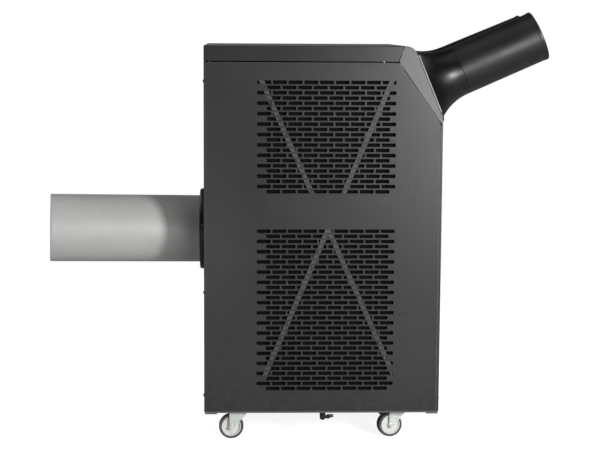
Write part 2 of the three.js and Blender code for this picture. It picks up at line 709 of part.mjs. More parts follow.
function makeNozzle(side, x, lift) {
  const origin = facePoint(x, 0);
  const axis = outward(lift);
  const bore = TUBE_RADIUS - TUBE_WALL - 1;
  const seat = PLATE_THICK + 2 * GAP;
  const low = FLANGE_LOW;
  const height = FLANGE_HIGH - FLANGE_LOW;
  const raise = low + height / 2;
  const rim = roundedRectangle(FLANGE_WIDTH, height, FLANGE_CORNER).map(([u, v]) => [u, v + raise]);

  const profile = [[bore - 10, -10]];
  const steps = 7;
  for (let i = 0; i <= steps; i += 1) {
    const along = (BASE_LENGTH * i) / steps;
    profile.push([flareRadius(along), along]);
  }
  profile.push([bore - 10, BASE_LENGTH]);
  const flare = turned(profile, origin, axis, NOZZLE_SIDES);
  const clip = slabFace(rim, x, seat, BASE_LENGTH + 20);
  const flange = slabFace(rim, x, seat, seat + FLANGE_THICK);
  const heelWidth = FLANGE_WIDTH / 2 - FLANGE_CORNER;
  const heel = slabFace(rectangle(-heelWidth, heelWidth, low, PLATE_LOW - GAP), x, GAP, seat + 1);
  const passage = rod(origin, axis, bore, -20, BASE_LENGTH + 5, NOZZLE_SIDES);
  const base = cut(fuse(wasm.Manifold.intersection([flare, clip]), flange, heel), passage);
  part(`nozzle_base_${side}`, base, BLACK_PLASTIC, 0.35, 0);

  const start = BASE_LENGTH + GAP;
  const spigot = bore - GAP;
  const tube = turned([
    [spigot - TUBE_WALL, start - SPIGOT_LENGTH], [spigot, start - SPIGOT_LENGTH], [spigot, start],
    [TUBE_RADIUS, start], [TUBE_RADIUS, NOZZLE_LENGTH - 1], [TUBE_RADIUS - 1, NOZZLE_LENGTH],
    [spigot - TUBE_WALL, NOZZLE_LENGTH],
  ], origin, axis, NOZZLE_SIDES);
  part(`nozzle_tube_${side}`, tube, BLACK_PLASTIC, 0.35, 0);
}

makeNozzle('left', -NOZZLE_X, NOZZLE_LIFT_LEFT);
makeNozzle('right', NOZZLE_X, NOZZLE_LIFT_RIGHT);

// ---------- exhaust duct ----------

function makeExhaustDuct() {
  const centre = vec(0, 0, DUCT_Z);
  const start = HALF_D + GAP;
  const collar = turned([
    [COLLAR_BORE, start], [COLLAR_RADIUS, start], [COLLAR_RADIUS, start + 9], [COLLAR_RADIUS - 2, start + 13],
    [COLLAR_RADIUS - 6, start + COLLAR_THICK], [COLLAR_BORE, start + COLLAR_THICK],
  ], centre, AXIS_Y, 40);
  part('exhaust_collar', collar, BLACK_PLASTIC, 0.4, 0);
  const axis = vec(-Math.sin(DUCT_TURN) * Math.cos(DUCT_RISE), Math.cos(DUCT_TURN) * Math.cos(DUCT_RISE),
    Math.sin(DUCT_RISE));
  const duct = turned([
    [DUCT_RADIUS - DUCT_WALL, -DUCT_INSERT], [DUCT_RADIUS, -DUCT_INSERT], [DUCT_RADIUS, DUCT_LENGTH - 1],
    [DUCT_RADIUS - 0.5, DUCT_LENGTH], [DUCT_RADIUS - DUCT_WALL, DUCT_LENGTH],
  ], vec(0, HALF_D, DUCT_Z), axis, 48);
  part('exhaust_duct', duct, 0xb9bbbc, 0.35, 0.8);
}

makeExhaustDuct();

// ---------- controls and power inlet ----------

function makeControls() {
  const y = -HALF_D - GAP;
  const front = y - CONTROL_THICK;
  const face = roundedRectangle(CONTROL_WIDTH, CONTROL_HEIGHT, 10).map(([u, v]) => [u, v + CONTROL_Z]);
  const recess = box(-WINDOW_WIDTH / 2, WINDOW_WIDTH / 2, front - 1, front + 1,
    CONTROL_Z + WINDOW_LOW, CONTROL_Z + WINDOW_HIGH);
  let plate = cut(slabY(face, front, y), recess);
  for (let i = 0; i < BUTTON_COUNT; i += 1) {
    const x = (i - (BUTTON_COUNT - 1) / 2) * BUTTON_PITCH;
    const at = vec(x, y, CONTROL_Z - BUTTON_DROP);
    plate = cut(plate, rod(at, AXIS_Y, BUTTON_RADIUS + 0.4, -CONTROL_THICK - 2, 2, 20));
    part(`button_${i + 1}`, rod(at, AXIS_Y, BUTTON_RADIUS, -CONTROL_THICK - 2, -0.2, 20), 0x9a9a98, 0.5, 0);
  }
  part('control_panel_plate', plate, 0x202022, 0.35, 0);
  part('control_box', box(60, 240, -290, -215, 420, 590), 0x9a9c9c, 0.5, 0.7);
  const gland = turned([
    [5, -14], [GLAND_RADIUS - 0.2, -14], [GLAND_RADIUS - 0.2, GAP], [14, GAP], [14, 4], [10, 8], [5, 8],
  ], vec(GLAND_X, HALF_D, GLAND_Z), AXIS_Y, 20);
  part('cord_gland', gland, BLACK_PLASTIC, 0.6, 0);
}

makeControls();

// ---------- drain valve ----------

function makeDrain() {
  const centre = vec(DRAIN_X, DRAIN_Y, 0);
  const body = rod(centre, AXIS_Z, 7.5, 48, PAN_FLOOR - GAP, 20);
  const barb = rod(vec(DRAIN_X, DRAIN_Y, DRAIN_Z), vec(0, -1, 0), 4.5, 0, 28, 16);
  part('drain_valve_body', fuse(body, barb), BLACK_PLASTIC, 0.5, 0);
  const x = DRAIN_X - 8;
  const boss = rod(vec(x, DRAIN_Y, DRAIN_Z), vec(-1, 0, 0), 5, 0, 4, 16);
  const arm = box(x - 4, x - 1, DRAIN_Y - 20, DRAIN_Y, DRAIN_Z - 3, DRAIN_Z + 3);
  part('drain_lever', fuse(boss, arm), 0x1a1a1a, 0.5, 0);
}

makeDrain();

// ---------- casters ----------

function makeCaster(name, x, y, turn, braked) {
  const place = (shape) => shape
    .rotate([0, 0, THREE.MathUtils.radToDeg(turn)])
    .translate([x, y, 0]);
  const origin = vec(0, 0, 0);
  const axle = vec(0, CASTER_TRAIL, WHEEL_RADIUS);
  const crownLow = 69.5;
  const crownHigh = 73;

  const plate = box(-30, 30, -30, 30, PAN_FLOOR - GAP - 3, PAN_FLOOR - GAP);
  const race = ring(origin, AXIS_Z, 7, 20, crownHigh + 0.5, PAN_FLOOR - GAP - 2, 24);
  part(`caster_plate_${name}`, fuse(plate, race).translate([x, y, 0]), ZINC, 0.35, 0.9);

  const leg = [[-21, crownHigh], [-21, 66], [-11, 54], [-4, 47], [13, 28], [18, 26.5], [22.5, 30],
    [22.5, crownHigh]];
  const crown = box(-17.5, 17.5, -21, 22.5, crownLow, crownHigh);
  const pin = rod(origin, AXIS_Z, 6, crownLow, PAN_FLOOR - 5, 16);
  const bolt = rod(axle, AXIS_X, AXLE_RADIUS, -17, 17, 16);
  const fork = fuse(crown, slabX(leg, -17.5, -15), slabX(leg, 15, 17.5), pin, bolt);
  part(`caster_fork_${name}`, place(fork), ZINC, 0.35, 0.9);

  const half = HUB_WIDTH / 2;
  const bore = AXLE_RADIUS + 0.4;
  const hub = turned([
    [bore, -half], [HUB_RADIUS - 2, -half], [HUB_RADIUS, -half + 1.5], [HUB_RADIUS, half - 1.5],
    [HUB_RADIUS - 2, half], [bore, half],
  ], axle, AXIS_X, 24);
  part(`wheel_hub_${name}`, place(hub), 0xc8c6c2, 0.5, 0.1);

  const halfTyre = TYRE_WIDTH / 2;
  const tyre = turned([
    [HUB_RADIUS + GAP, -halfTyre], [WHEEL_RADIUS - 3, -halfTyre], [WHEEL_RADIUS, -halfTyre + 4],
    [WHEEL_RADIUS, halfTyre - 4], [WHEEL_RADIUS - 3, halfTyre], [HUB_RADIUS + GAP, halfTyre],
  ], vec(0, 0, 0), AXIS_X, 24)
    .rotate([180 / 24, 0, 0])
    .translate([0, axle.y, axle.z]);
  part(`tyre_${name}`, place(tyre), 0x3c3c3e, 0.8, 0);

  if (!braked) return;
  const inner = WHEEL_RADIUS + 3;
  const aroundWheel = (radius, degrees) => {
    const angle = THREE.MathUtils.degToRad(degrees);
    return [axle.y + radius * Math.cos(angle), axle.z + radius * Math.sin(angle)];
  };
  const reach = [46, 56, 66, 76];
  const underside = reach.map((degrees) => aroundWheel(inner, degrees));
  const topside = reach.map((degrees) => aroundWheel(inner + 4.2, degrees)).reverse();
  const [hingeY, hingeZ] = aroundWheel(inner + 2.8, 78.5);
  const barrel = rod(vec(0, hingeY, hingeZ), AXIS_X, 2.6, -11, 11, 12);
  const tread = slabX([...underside, ...topside], -11, 11);
  part(`brake_pedal_${name}`, place(fuse(barrel, tread)), BLACK_PLASTIC, 0.5, 0);
}

makeCaster('rear_left', -REAR_CASTER_X, REAR_CASTER_Y, 0, false);
makeCaster('rear_right', REAR_CASTER_X, REAR_CASTER_Y, 0, false);
makeCaster('front_left', -FRONT_CASTER_X, FRONT_CASTER_Y, FRONT_CASTER_TURN, true);
makeCaster('front_right', FRONT_CASTER_X, FRONT_CASTER_Y, FRONT_CASTER_TURN, true);

// ---------- set the assembly down: box centred on the Z axis, wheels on z = 0 ----------

const bounds = new THREE.Box3().setFromObject(group);
const boxCentre = bounds.getCenter(new THREE.Vector3());
for (const node of group.children) {
  node.geometry.translate(-boxCentre.x, -boxCentre.y, -bounds.min.z);
}

export default group;
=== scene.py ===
"""Looks of the portable air conditioner: materials, detailed pieces, light and camera."""

import json
import math

import bmesh
import bpy
from mathutils import Matrix, Quaternion, Vector
from mathutils.geometry import delaunay_2d_cdt


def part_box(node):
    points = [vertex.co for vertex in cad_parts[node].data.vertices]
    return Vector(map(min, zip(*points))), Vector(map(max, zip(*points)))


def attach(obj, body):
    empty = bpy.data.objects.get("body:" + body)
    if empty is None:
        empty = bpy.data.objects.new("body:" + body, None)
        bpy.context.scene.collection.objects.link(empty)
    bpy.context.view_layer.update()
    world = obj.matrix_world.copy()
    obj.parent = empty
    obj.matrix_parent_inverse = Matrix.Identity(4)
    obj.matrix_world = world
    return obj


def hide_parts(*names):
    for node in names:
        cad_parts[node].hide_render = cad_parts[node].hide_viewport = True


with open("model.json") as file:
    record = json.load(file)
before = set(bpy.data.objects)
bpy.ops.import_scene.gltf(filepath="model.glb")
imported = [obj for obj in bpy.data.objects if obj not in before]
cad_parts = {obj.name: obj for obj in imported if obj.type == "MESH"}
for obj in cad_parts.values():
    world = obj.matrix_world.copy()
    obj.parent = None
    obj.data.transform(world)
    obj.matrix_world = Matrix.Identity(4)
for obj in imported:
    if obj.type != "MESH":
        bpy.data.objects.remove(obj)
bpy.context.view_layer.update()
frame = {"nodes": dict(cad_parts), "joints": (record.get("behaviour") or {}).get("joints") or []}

# ---------- sizes, in metres ----------

SHEET = 0.0015
SEAM = 0.0003
LID_GAP = 0.0024
FOLD_RADIUS = 0.0016
GROOVE = 0.0005
# Width of the rounded sheet rim that takes the lighter edge colour: worn paint and a painted edge
# highlight.
WORN_AND_SHEEN_EDGE = 0.0006
CUT_EDGE = 0.0004

SLOT_LENGTH = 0.035
SLOT_CORNER = 0.002
SLOT_HEIGHT = 0.009
SLOT_PITCH = 0.0393
ROW_PITCH = 0.0131
ROW_SHIFT = 0.61
LONG_ROW_SLOTS = 9
GRILLE_REAR_MARGIN = 0.1511
GRILLES = ((0.9202, 22), (0.5446, 32))
FLOOR_SHIFT = 0.00027

FACE_TILT = math.radians(22.5)
FACE_FOOT = 0.8278 - FLOOR_SHIFT
HOOD_RADIUS = 0.028
HOOD_BEND_INSET = 0.0947
MITRE_TOP_INSET = 0.0987
FOLD_TOP_INSET = 0.1136
PORT_RADIUS = 0.060

PLATE_WIDTH = 0.492
PLATE_LOW = -0.0675
PLATE_HIGH = 0.088
PLATE_THICK = 0.0045
PLATE_SHADOW_GAP = 0.0012

NOZZLE_CENTRE = 0.9068 - FLOOR_SHIFT
NOZZLE_LENGTH = 0.326
NOZZLE_BASE_LENGTH = 0.102
FLANGE_WIDTH = 0.184
FLANGE_LOW = -0.096
FLANGE_HIGH = 0.088
FLANGE_THICK = 0.004
FLANGE_CORNER = 0.014
FLARE_POWER = 2.3
FLARE_GROWTH = 1e-6 * 1000 ** FLARE_POWER
TUBE_RADIUS = 0.065
TUBE_WALL = 0.003
SPIGOT_LENGTH = 0.030
FLARE_LIP = 0.0008
FLARE_STEPS = 28

DUCT_RADIUS = 0.0889
DUCT_WALL = 0.002
DUCT_LENGTH = 0.4125
DUCT_INSERT = 0.015
COLLAR_RADIUS = 0.1075
COLLAR_BORE = 0.0922
COLLAR_THICK = 0.015

KEY_TRAVEL = 0.0016
DISPLAY_SIZE = (0.070, 0.028)
DISPLAY_RISE = 0.019
NUT_SIDES = 6

FILTER_RAIL = 0.011
FAN_HUB = 0.026
FAN_BORE = 0.0044
FAN_BLADES = 7
BLADE_THICK = 0.0014

TOP_PLATE_THICK = 0.003
PLATE_BOLT_OFFSET = 0.023
CROWN_THICK = 0.0035
FORK_THICK = 0.0025
FORK_LEGS = (-0.0175, 0.0150)
AXLE_NUTS = (-0.0213, 0.0175)
WHEEL_RADIUS = 0.03175
HUB_RADIUS = 0.027
HUB_HALF_WIDTH = 0.013
TYRE_LIP = 0.0254
TYRE_HALF_WIDTH = 0.012
TYRE_SEAT = 0.0086
PEDAL_WIDTH = 0.022
PEDAL_THICK = 0.0042
PEDAL_CLEARANCE = 0.003

CABINET_SCREW = 0.0042
NOZZLE_SCREW = 0.0036
COLLAR_SCREW = 0.0038
CLAMP_SCREW = 0.0030
PLATE_BOLT = 0.0045

PORT_SEGMENTS = 64
TUBE_SEGMENTS = 160
SMOOTH_ANGLE = 35.0

FLOOR_RADIUS = 2.5
FLOOR_GLOW = 0.88
SKY_LOW = 0.12
SKY_HIGH = 0.04
BACKDROP_EDGE = 0.86
BACKDROP_GLOW = 0.18

CASTERS = ("rear_left", "rear_right", "front_left", "front_right")
RIGHT = Vector((1, 0, 0))
BACK = Vector((0, 1, 0))
UP = Vector((0, 0, 1))
WHITE = (1.0, 1.0, 1.0, 1.0)

panel_lo, panel_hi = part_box("side_panel_left")
lid_lo, lid_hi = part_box("top_lid")
hood_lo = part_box("front_hood")[0]
front_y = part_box("front_panel")[0].y
rear_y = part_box("rear_panel")[1].y
half_width = lid_hi.x
duct_z = sum(corner.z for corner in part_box("exhaust_collar")) / 2
joints = {joint["name"]: joint for joint in frame["joints"]}

# ---------- materials ----------


def grey(value):
    return (value, value, value)


def tune(node, **values):
    """Sets inputs of a shader node. An underscore stands for a space in an input's name."""
    for name, value in values.items():
        node.inputs[name.replace("_", " ")].default_value = value


class Graph:
    """A shader node tree with short ways to add the nodes that the looks need."""

    def __init__(self, tree, coordinates):
        self.nodes = tree.nodes
        self.links = tree.links
        self.place = self.nodes.new("ShaderNodeTexCoord").outputs[coordinates]

    def stretched(self, scale):
        mapping = self.nodes.new("ShaderNodeMapping")
        tune(mapping, Scale=scale)
        self.links.new(self.place, mapping.inputs["Vector"])
        return mapping.outputs["Vector"]

    def noise(self, scale, detail=3.0, rough=0.55, place=None):
        node = self.nodes.new("ShaderNodeTexNoise")
        tune(node, Scale=scale, Detail=detail, Roughness=rough)
        self.links.new(place or self.place, node.inputs["Vector"])
        return node.outputs["Fac"]

    def waves(self, direction, scale, distortion=0.0):
        node = self.nodes.new("ShaderNodeTexWave")
        node.bands_direction = direction
        tune(node, Scale=scale, Distortion=distortion)
        self.links.new(self.place, node.inputs["Vector"])
        return node.outputs["Fac"]

    def ramp(self, value, *stops):
        node = self.nodes.new("ShaderNodeValToRGB")
        elements = node.color_ramp.elements
        while len(elements) < len(stops):
            elements.new(0.5)
        for element, (position, colour) in zip(elements, stops):
            element.position = position
            element.color = (*colour, 1.0)
        self.links.new(value, node.inputs["Fac"])
        return node.outputs["Color"]

    def spread(self, value, low, high, start=0.3, end=0.7):
        node = self.nodes.new("ShaderNodeMapRange")
        tune(node, From_Min=start, From_Max=end, To_Min=low, To_Max=high)
        self.links.new(value, node.inputs["Value"])
        return node.outputs["Result"]

    def mix(self, factor, first, second):
        """Mixes two colours. The second is a node's output or plain WHITE."""
        node = self.nodes.new("ShaderNodeMix")
        node.data_type = "RGBA"
        self.links.new(factor, node.inputs["Factor"])
        self.links.new(first, node.inputs["A"])
        if second is WHITE:
            tune(node, B=second)
        else:
            self.links.new(second, node.inputs["B"])
        return node.outputs["Result"]

    def add(self, first, second):
        node = self.nodes.new("ShaderNodeMath")
        node.operation = "ADD"
        self.links.new(first, node.inputs[0])
        self.links.new(second, node.inputs[1])
        return node.outputs["Value"]

    def part(self, axis):
        """One coordinate of the place, "X" to "Z"."""
        node = self.nodes.new("ShaderNodeSeparateXYZ")
        self.links.new(self.place, node.inputs["Vector"])
        return node.outputs[axis]

    def seen(self):
        """1 for what the camera sees directly and 0 for light."""
        return self.nodes.new("ShaderNodeLightPath").outputs["Is Camera Ray"]


class Paint(Graph):
    """A Principled material whose colour, roughness and bump come from object-space noise."""

    def __init__(self, name, metallic=0.0, specular=0.5, coat=0.0):
        self.material = bpy.data.materials.new(name)
        self.material.use_nodes = True
        super().__init__(self.material.node_tree, "Object")
        self.shader = self.nodes["Principled BSDF"]
        tune(self.shader, Metallic=metallic, Specular_IOR_Level=specular, Coat_Weight=coat)
        self.normal = None

    def colour(self, value, *stops):
        """Colours by a value between stops, or by a finished colour."""
        output = self.ramp(value, *stops) if stops else value
        self.links.new(output, self.shader.inputs["Base Color"])

    def roughness(self, value, *limits):
        self.links.new(self.spread(value, *limits), self.shader.inputs["Roughness"])

    def bump(self, output, distance, strength=1.0):
        node = self.nodes.new("ShaderNodeBump")
        tune(node, Distance=distance, Strength=strength)
        self.links.new(output, node.inputs["Height"])
        if self.normal:
            self.links.new(self.normal, node.inputs["Normal"])
        self.normal = node.outputs["Normal"]
        self.links.new(self.normal, self.shader.inputs["Normal"])


def powder_coat(name, dark, light, rough):
    paint = Paint(name)
    grain = paint.add(paint.noise(6.0), paint.noise(260.0, 2.0))
    tone = paint.ramp(paint.spread(grain, 0.0, 1.0, 0.75, 1.25), (0.0, dark), (1.0, light))
    dust = paint.spread(paint.part("Z"), 0.30, 0.0, 0.07, 0.20)
    specks = paint.ramp(paint.noise(60.0, 6.0), (0.45, dark), (0.75, (0.075, 0.072, 0.066)))
    paint.colour(paint.mix(dust, tone, specks))
    paint.roughness(paint.noise(7.0, 2.0), rough - 0.015, rough + 0.02, 0.2, 0.8)
    paint.bump(paint.noise(2.2, 1.0), 0.004, 0.35)
    paint.bump(paint.noise(900.0, 2.0), 0.00006, 0.6)
    return paint.material


def plastic(name, dark, light, rough, grain=1400.0, specular=0.5):
    paint = Paint(name, specular=specular)
    paint.colour(paint.noise(14.0, 5.0), (0.35, dark), (0.7, light))
    paint.roughness(paint.noise(22.0, 5.0), rough - 0.05, rough + 0.08)
    paint.bump(paint.noise(grain, 2.0), 0.00004, 0.5)
    return paint.material


def satin_duct():
    paint = Paint("satin_duct", metallic=0.1)
    streaks = paint.noise(40.0, 5.0, 0.6, paint.stretched((2.0, 30.0, 2.0)))
    cloud = paint.noise(7.0, 4.0)
    tone = paint.add(streaks, cloud)
    shade = paint.spread(tone, 0.0, 1.0, 0.7, 1.3)
    paint.colour(shade, (0.0, (0.46, 0.46, 0.452)), (1.0, (0.56, 0.56, 0.547)))
    paint.roughness(streaks, 0.42, 0.54)
    paint.bump(streaks, 0.00004, 0.5)
    paint.bump(paint.noise(5.0, 2.0), 0.0015, 0.25)
    return paint.material


def zinc():
    paint = Paint("zinc_plate", metallic=0.45)
    node = paint.nodes.new("ShaderNodeTexVoronoi")
    tune(node, Scale=260.0)
    paint.links.new(paint.place, node.inputs["Vector"])
    cells = node.outputs["Color"]
    split = paint.nodes.new("ShaderNodeSeparateColor")
    paint.links.new(cells, split.inputs["Color"])
    mottle = paint.add(split.outputs["Red"], paint.noise(80.0, 5.0))
    paint.colour(mottle, (0.35, (0.56, 0.61, 0.58)), (0.8, (0.76, 0.80, 0.77)))
    paint.roughness(paint.noise(120.0, 5.0), 0.26, 0.44)
    paint.bump(paint.noise(700.0, 3.0), 0.00005, 0.5)
    return paint.material


def metal(name, dark, light, rough, scale=40.0):
    paint = Paint(name, metallic=1.0)
    paint.colour(paint.noise(scale, 5.0), (0.35, dark), (0.7, light))
    paint.roughness(paint.noise(scale * 2.0, 5.0), rough - 0.08, rough + 0.1)
    paint.bump(paint.noise(scale * 15.0, 3.0), 0.00005, 0.5)
    return paint.material


def rubber():
    paint = Paint("tyre_rubber", specular=0.35)
    paint.colour(paint.noise(160.0, 6.0), (0.35, grey(0.06)), (0.75, (0.125, 0.122, 0.118)))
    paint.roughness(paint.noise(90.0, 4.0), 0.62, 0.85)
    paint.bump(paint.noise(1100.0, 4.0), 0.00012, 0.6)
    return paint.material


def finned_with_gap_shade(name):
    """Coil fins: thin upright plates 2 mm apart, with painted shade in the dark gaps between them."""
    paint = Paint(name, metallic=1.0)
    fin_bands_and_gap_shade = paint.waves("Y", 160.0, 0.4)
    # The dark bands are painted shade in the gaps between the fins; the light bands are the fins' edges.
    paint.colour(fin_bands_and_gap_shade, (0.2, grey(0.03)), (0.8, grey(0.35)))
    paint.roughness(paint.noise(50.0, 3.0), 0.4, 0.6)
    paint.bump(fin_bands_and_gap_shade, 0.001)
    return paint.material


def mesh_cloth():
    """Black filter mesh: two sets of threads crossing."""
    paint = Paint("filter_mesh", specular=0.2)
    weave = paint.add(paint.waves("Y", 220.0), paint.waves("Z", 220.0))
    paint.colour(weave, (0.4, grey(0.0006)), (1.0, grey(0.004)))
    paint.roughness(paint.noise(60.0), 0.8, 0.95)
    paint.bump(weave, 0.0006)
    return paint.material


def screen_glass():
    paint = Paint("display_glass", specular=0.5, coat=0.4)
    paint.colour(paint.noise(30.0), (0.3, (0.004, 0.006, 0.008)), (0.7, (0.008, 0.010, 0.012)))
    paint.roughness(paint.noise(20.0, 5.0), 0.06, 0.14)
    paint.bump(paint.noise(4.0), 0.0004, 0.2)
    return paint.material


def pale_floor():
    """White to the camera with a faint shadow under the object; dimmer as a reflector."""
    paint = Paint("pale_floor", specular=0.0)
    paint.colour(paint.noise(3.0, 4.0), (0.3, grey(0.62)), (0.7, grey(0.66)))
    paint.roughness(paint.noise(5.0), 0.85, 0.95)
    paint.bump(paint.noise(300.0, 3.0), 0.00003, 0.3)
    glow = paint.spread(paint.seen(), 0.0, FLOOR_GLOW, 0, 1)
    tune(paint.shader, Emission_Color=WHITE)
    paint.links.new(glow, paint.shader.inputs["Emission Strength"])
    return paint.material


CABINET = powder_coat("black_powder_coat", grey(0.022), grey(0.031), 0.28)
LID = powder_coat("lid_powder_coat", grey(0.024), grey(0.031), 0.22)
HOOD = powder_coat("hood_powder_coat", (0.112, 0.113, 0.108), (0.126, 0.127, 0.121), 0.30)
LIGHT_PAINT = powder_coat("light_grey_paint", grey(0.26), grey(0.32), 0.42)
GREY_PAINT = powder_coat("grey_paint", grey(0.045), grey(0.062), 0.50)
# A lighter grey for sheet edges: partly worn paint, partly a painted highlight where the edges catch the
# light.
EDGE_WEAR_AND_SHEEN = powder_coat("worn_and_sheen_edge", grey(0.14), grey(0.24), 0.40)
PLASTIC = plastic("black_plastic", grey(0.006), grey(0.010), 0.40)
GLOSS_PLASTIC = plastic("moulded_plastic", grey(0.002), grey(0.004), 0.33, specular=0.48)
MATT_PLASTIC = plastic("matt_plastic", grey(0.002), grey(0.004), 0.60, specular=0.06)
HUB_PLASTIC = plastic("hub_nylon", (0.68, 0.67, 0.65), (0.78, 0.77, 0.75), 0.45, 500.0)
KEY_PLASTIC = plastic("key_plastic", (0.30, 0.30, 0.30), (0.36, 0.36, 0.35), 0.5)
GUARD_PLASTIC = plastic("fan_plastic", grey(0.010), grey(0.020), 0.5, 700.0)
ENCLOSURE = plastic("enclosure_plastic", grey(0.28), grey(0.34), 0.55)
ALUMINIUM = satin_duct()
ZINC = zinc()
GALVANISED = metal("galvanised_sheet", grey(0.32), grey(0.46), 0.45, 25.0)
STEEL_SCREW = metal("screw_steel", grey(0.36), grey(0.50), 0.34, 300.0)
COPPER = metal("copper_tube", (0.55, 0.24, 0.12), (0.76, 0.38, 0.22), 0.34)
MOTOR = metal("motor_can", grey(0.12), grey(0.18), 0.5)
FRAME_RAIL = metal("filter_frame", grey(0.30), grey(0.42), 0.45, 60.0)
RUBBER = rubber()
FINS_WITH_GAP_SHADE = finned_with_gap_shade("coil_fins_gap_shade")
FILTER = mesh_cloth()
GLASS = screen_glass()

# ---------- mesh helpers ----------


def weigh_normals(piece):
    """Keeps flat faces evenly shaded next to their rounded rims."""
    weight = piece.modifiers.new("face_weight", "WEIGHTED_NORMAL")
    weight.mode = "FACE_AREA"
    weight.keep_sharp = True


def new_object(name, data):
    thing = bpy.data.objects.new(name, data)
    bpy.context.scene.collection.objects.link(thing)
    return thing


def new_piece(name, bm, materials, smooth_angle=SMOOTH_ANGLE):
    """Turns a bmesh into an object of the scene, smooth up to the given angle."""
    mesh = bpy.data.meshes.new(name)
    bm.to_mesh(mesh)
    bm.free()
    mesh.shade_smooth()
    mesh.set_sharp_from_angle(angle=math.radians(smooth_angle))
    for material in materials:
        mesh.materials.append(material)
    return new_object(name, mesh)


def finish_piece(name, bm, material, body, smooth_angle=SMOOTH_ANGLE, edge_material=None):
    """A piece that rides on a body, with its material and an optional edge material in a second slot."""
    bmesh.ops.recalc_face_normals(bm, faces=bm.faces)
    materials = [material, edge_material] if edge_material else [material]
    piece = new_piece(name, bm, materials, smooth_angle)
    weigh_normals(piece)
    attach(piece, body)
    return piece


def rounded(points, radius, steps=5):
    """A closed polygon with every corner rounded, as far as its sides allow."""
    result = []
    count = len(points)
    for i, corner in enumerate(points):
        corner = Vector(corner)
        before = Vector(points[i - 1]) - corner
        after = Vector(points[(i + 1) % count]) - corner
        opening = before.angle(after)
        reach = min(radius / math.tan(opening / 2), before.length * 0.48, after.length * 0.48)
        start = corner + before.normalized() * reach
        end = corner + after.normalized() * reach
        for k in range(steps + 1):
            t = k / steps
            result.append(start * (1 - t) ** 2 + corner * 2 * t * (1 - t) + end * t ** 2)
    return result


def circle(u, v, radius, count):
    angles = [2 * math.pi * k / count for k in range(count)]
    return [Vector((u + radius * math.cos(a), v + radius * math.sin(a))) for a in angles]


def rectangle(width, height, radius, steps=5):
    u, v = width / 2, height / 2
    return rounded([(-u, -v), (u, -v), (u, v), (-u, v)], radius, steps)


def add_turned(bm, profile, origin, axis, segments=96):
    """Adds a closed (radius, along) profile turned about an axis."""
    turn = UP.rotation_difference(Vector(axis)).to_matrix()
    origin = Vector(origin)
    rings = []
    for i in range(segments):
        angle = 2 * math.pi * i / segments
        spoke = Vector((math.cos(angle), math.sin(angle), 0))
        rings.append([bm.verts.new(origin + turn @ (spoke * r + UP * a)) for r, a in profile])
    for ring, following in zip(rings, rings[1:] + rings[:1]):
        for j in range(len(profile)):
            k = (j + 1) % len(profile)
            bm.faces.new((ring[j], following[j], following[k], ring[k]))
    bmesh.ops.remove_doubles(bm, verts=[v for ring in rings for v in ring], dist=1e-6)


def add_prism(bm, outline, place, depth, edge=0.0, segments=2):
    """Adds an outline pushed along the local Z of `place`, with its two rims rounded."""
    rims = []
    for level in (0.0, depth):
        rims.append([bm.verts.new(place @ Vector((p[0], p[1], level))) for p in outline])
    low, high = rims
    bm.faces.new(reversed(low))
    bm.faces.new(high)
    count = len(outline)
    for i in range(count):
        j = (i + 1) % count
        bm.faces.new((low[i], low[j], high[j], high[i]))
    if edge:
        rim_edges = [bm.edges.get((rim[i], rim[(i + 1) % count])) for rim in rims for i in range(count)]
        bmesh.ops.bevel(bm, geom=rim_edges, offset=edge, segments=segments, profile=0.5,
                        affect="EDGES", clamp_overlap=True)


def axes(origin, right, up):
    """A placement whose local X is `right` and local Y is `up`."""
    right, up = Vector(right).normalized(), Vector(up).normalized()
    out = right.cross(up)
    place = Matrix((right, up, out)).transposed().to_4x4()
    place.translation = Vector(origin)
    return place


def grown(loop, distance):
    """A closed loop moved outward by a distance, for a loop that runs anticlockwise."""
    moved = []
    count = len(loop)
    for i, point in enumerate(loop):
        point = Vector(point)
        before = (point - Vector(loop[i - 1])).normalized()
        after = (Vector(loop[(i + 1) % count]) - point).normalized()
        normal = (Vector((before.y, -before.x)) + Vector((after.y, -after.x))).normalized()
        lean = max(normal.dot(Vector((after.y, -after.x))), 0.3)
        moved.append(point + normal * distance / lean)
    return moved


def filled(loops):
    """Triangles between an outer loop and the holes in it, as indices into all their points."""
    points, rings = [], []
    for loop in loops:
        rings.append(list(range(len(points), len(points) + len(loop))))
        points += loop
    _, _, faces, originals, _, inside = delaunay_2d_cdt(points, [], rings, 1, 1e-7)
    solid = [face for face, loops_around in zip(faces, inside) if set(loops_around) == {0}]
    return [[originals[i][0] for i in face] for face in solid]


def add_sheet(bm, outer, holes, place, thickness, edge, rim_slot=0):
    """Adds a flat sheet with holes. Outside rims and hole rims are rounded on both faces.

    The outside rim takes the material slot `rim_slot`.
    """
    signs = [-1.0] + [1.0] * len(holes)
    loops = [outer] + list(holes)
    levels = [(0.0, edge), (edge * 0.3, edge * 0.3), (edge, 0.0)]
    levels += [(thickness - depth, shift) for depth, shift in reversed(levels)]
    stacks = []
    for sign, loop in zip(signs, loops):
        rows = []
        for depth, shift in levels:
            moved = grown(loop, sign * shift)
            rows.append([bm.verts.new(place @ Vector((p.x, p.y, depth))) for p in moved])
        stacks.append((grown(loop, sign * edge), rows))
        count = len(loop)
        for upper, lower in zip(rows, rows[1:]):
            for i in range(count):
                j = (i + 1) % count
                rim = bm.faces.new((upper[i], upper[j], lower[j], lower[i]))
                rim.material_index = rim_slot if loop is outer else 0
    front = [vert for _, rows in stacks for vert in rows[0]]
    back = [vert for _, rows in stacks for vert in rows[-1]]
    for triangle in filled([flat for flat, _ in stacks]):
        for side in (front, back):
            bm.faces.new([side[i] for i in triangle])


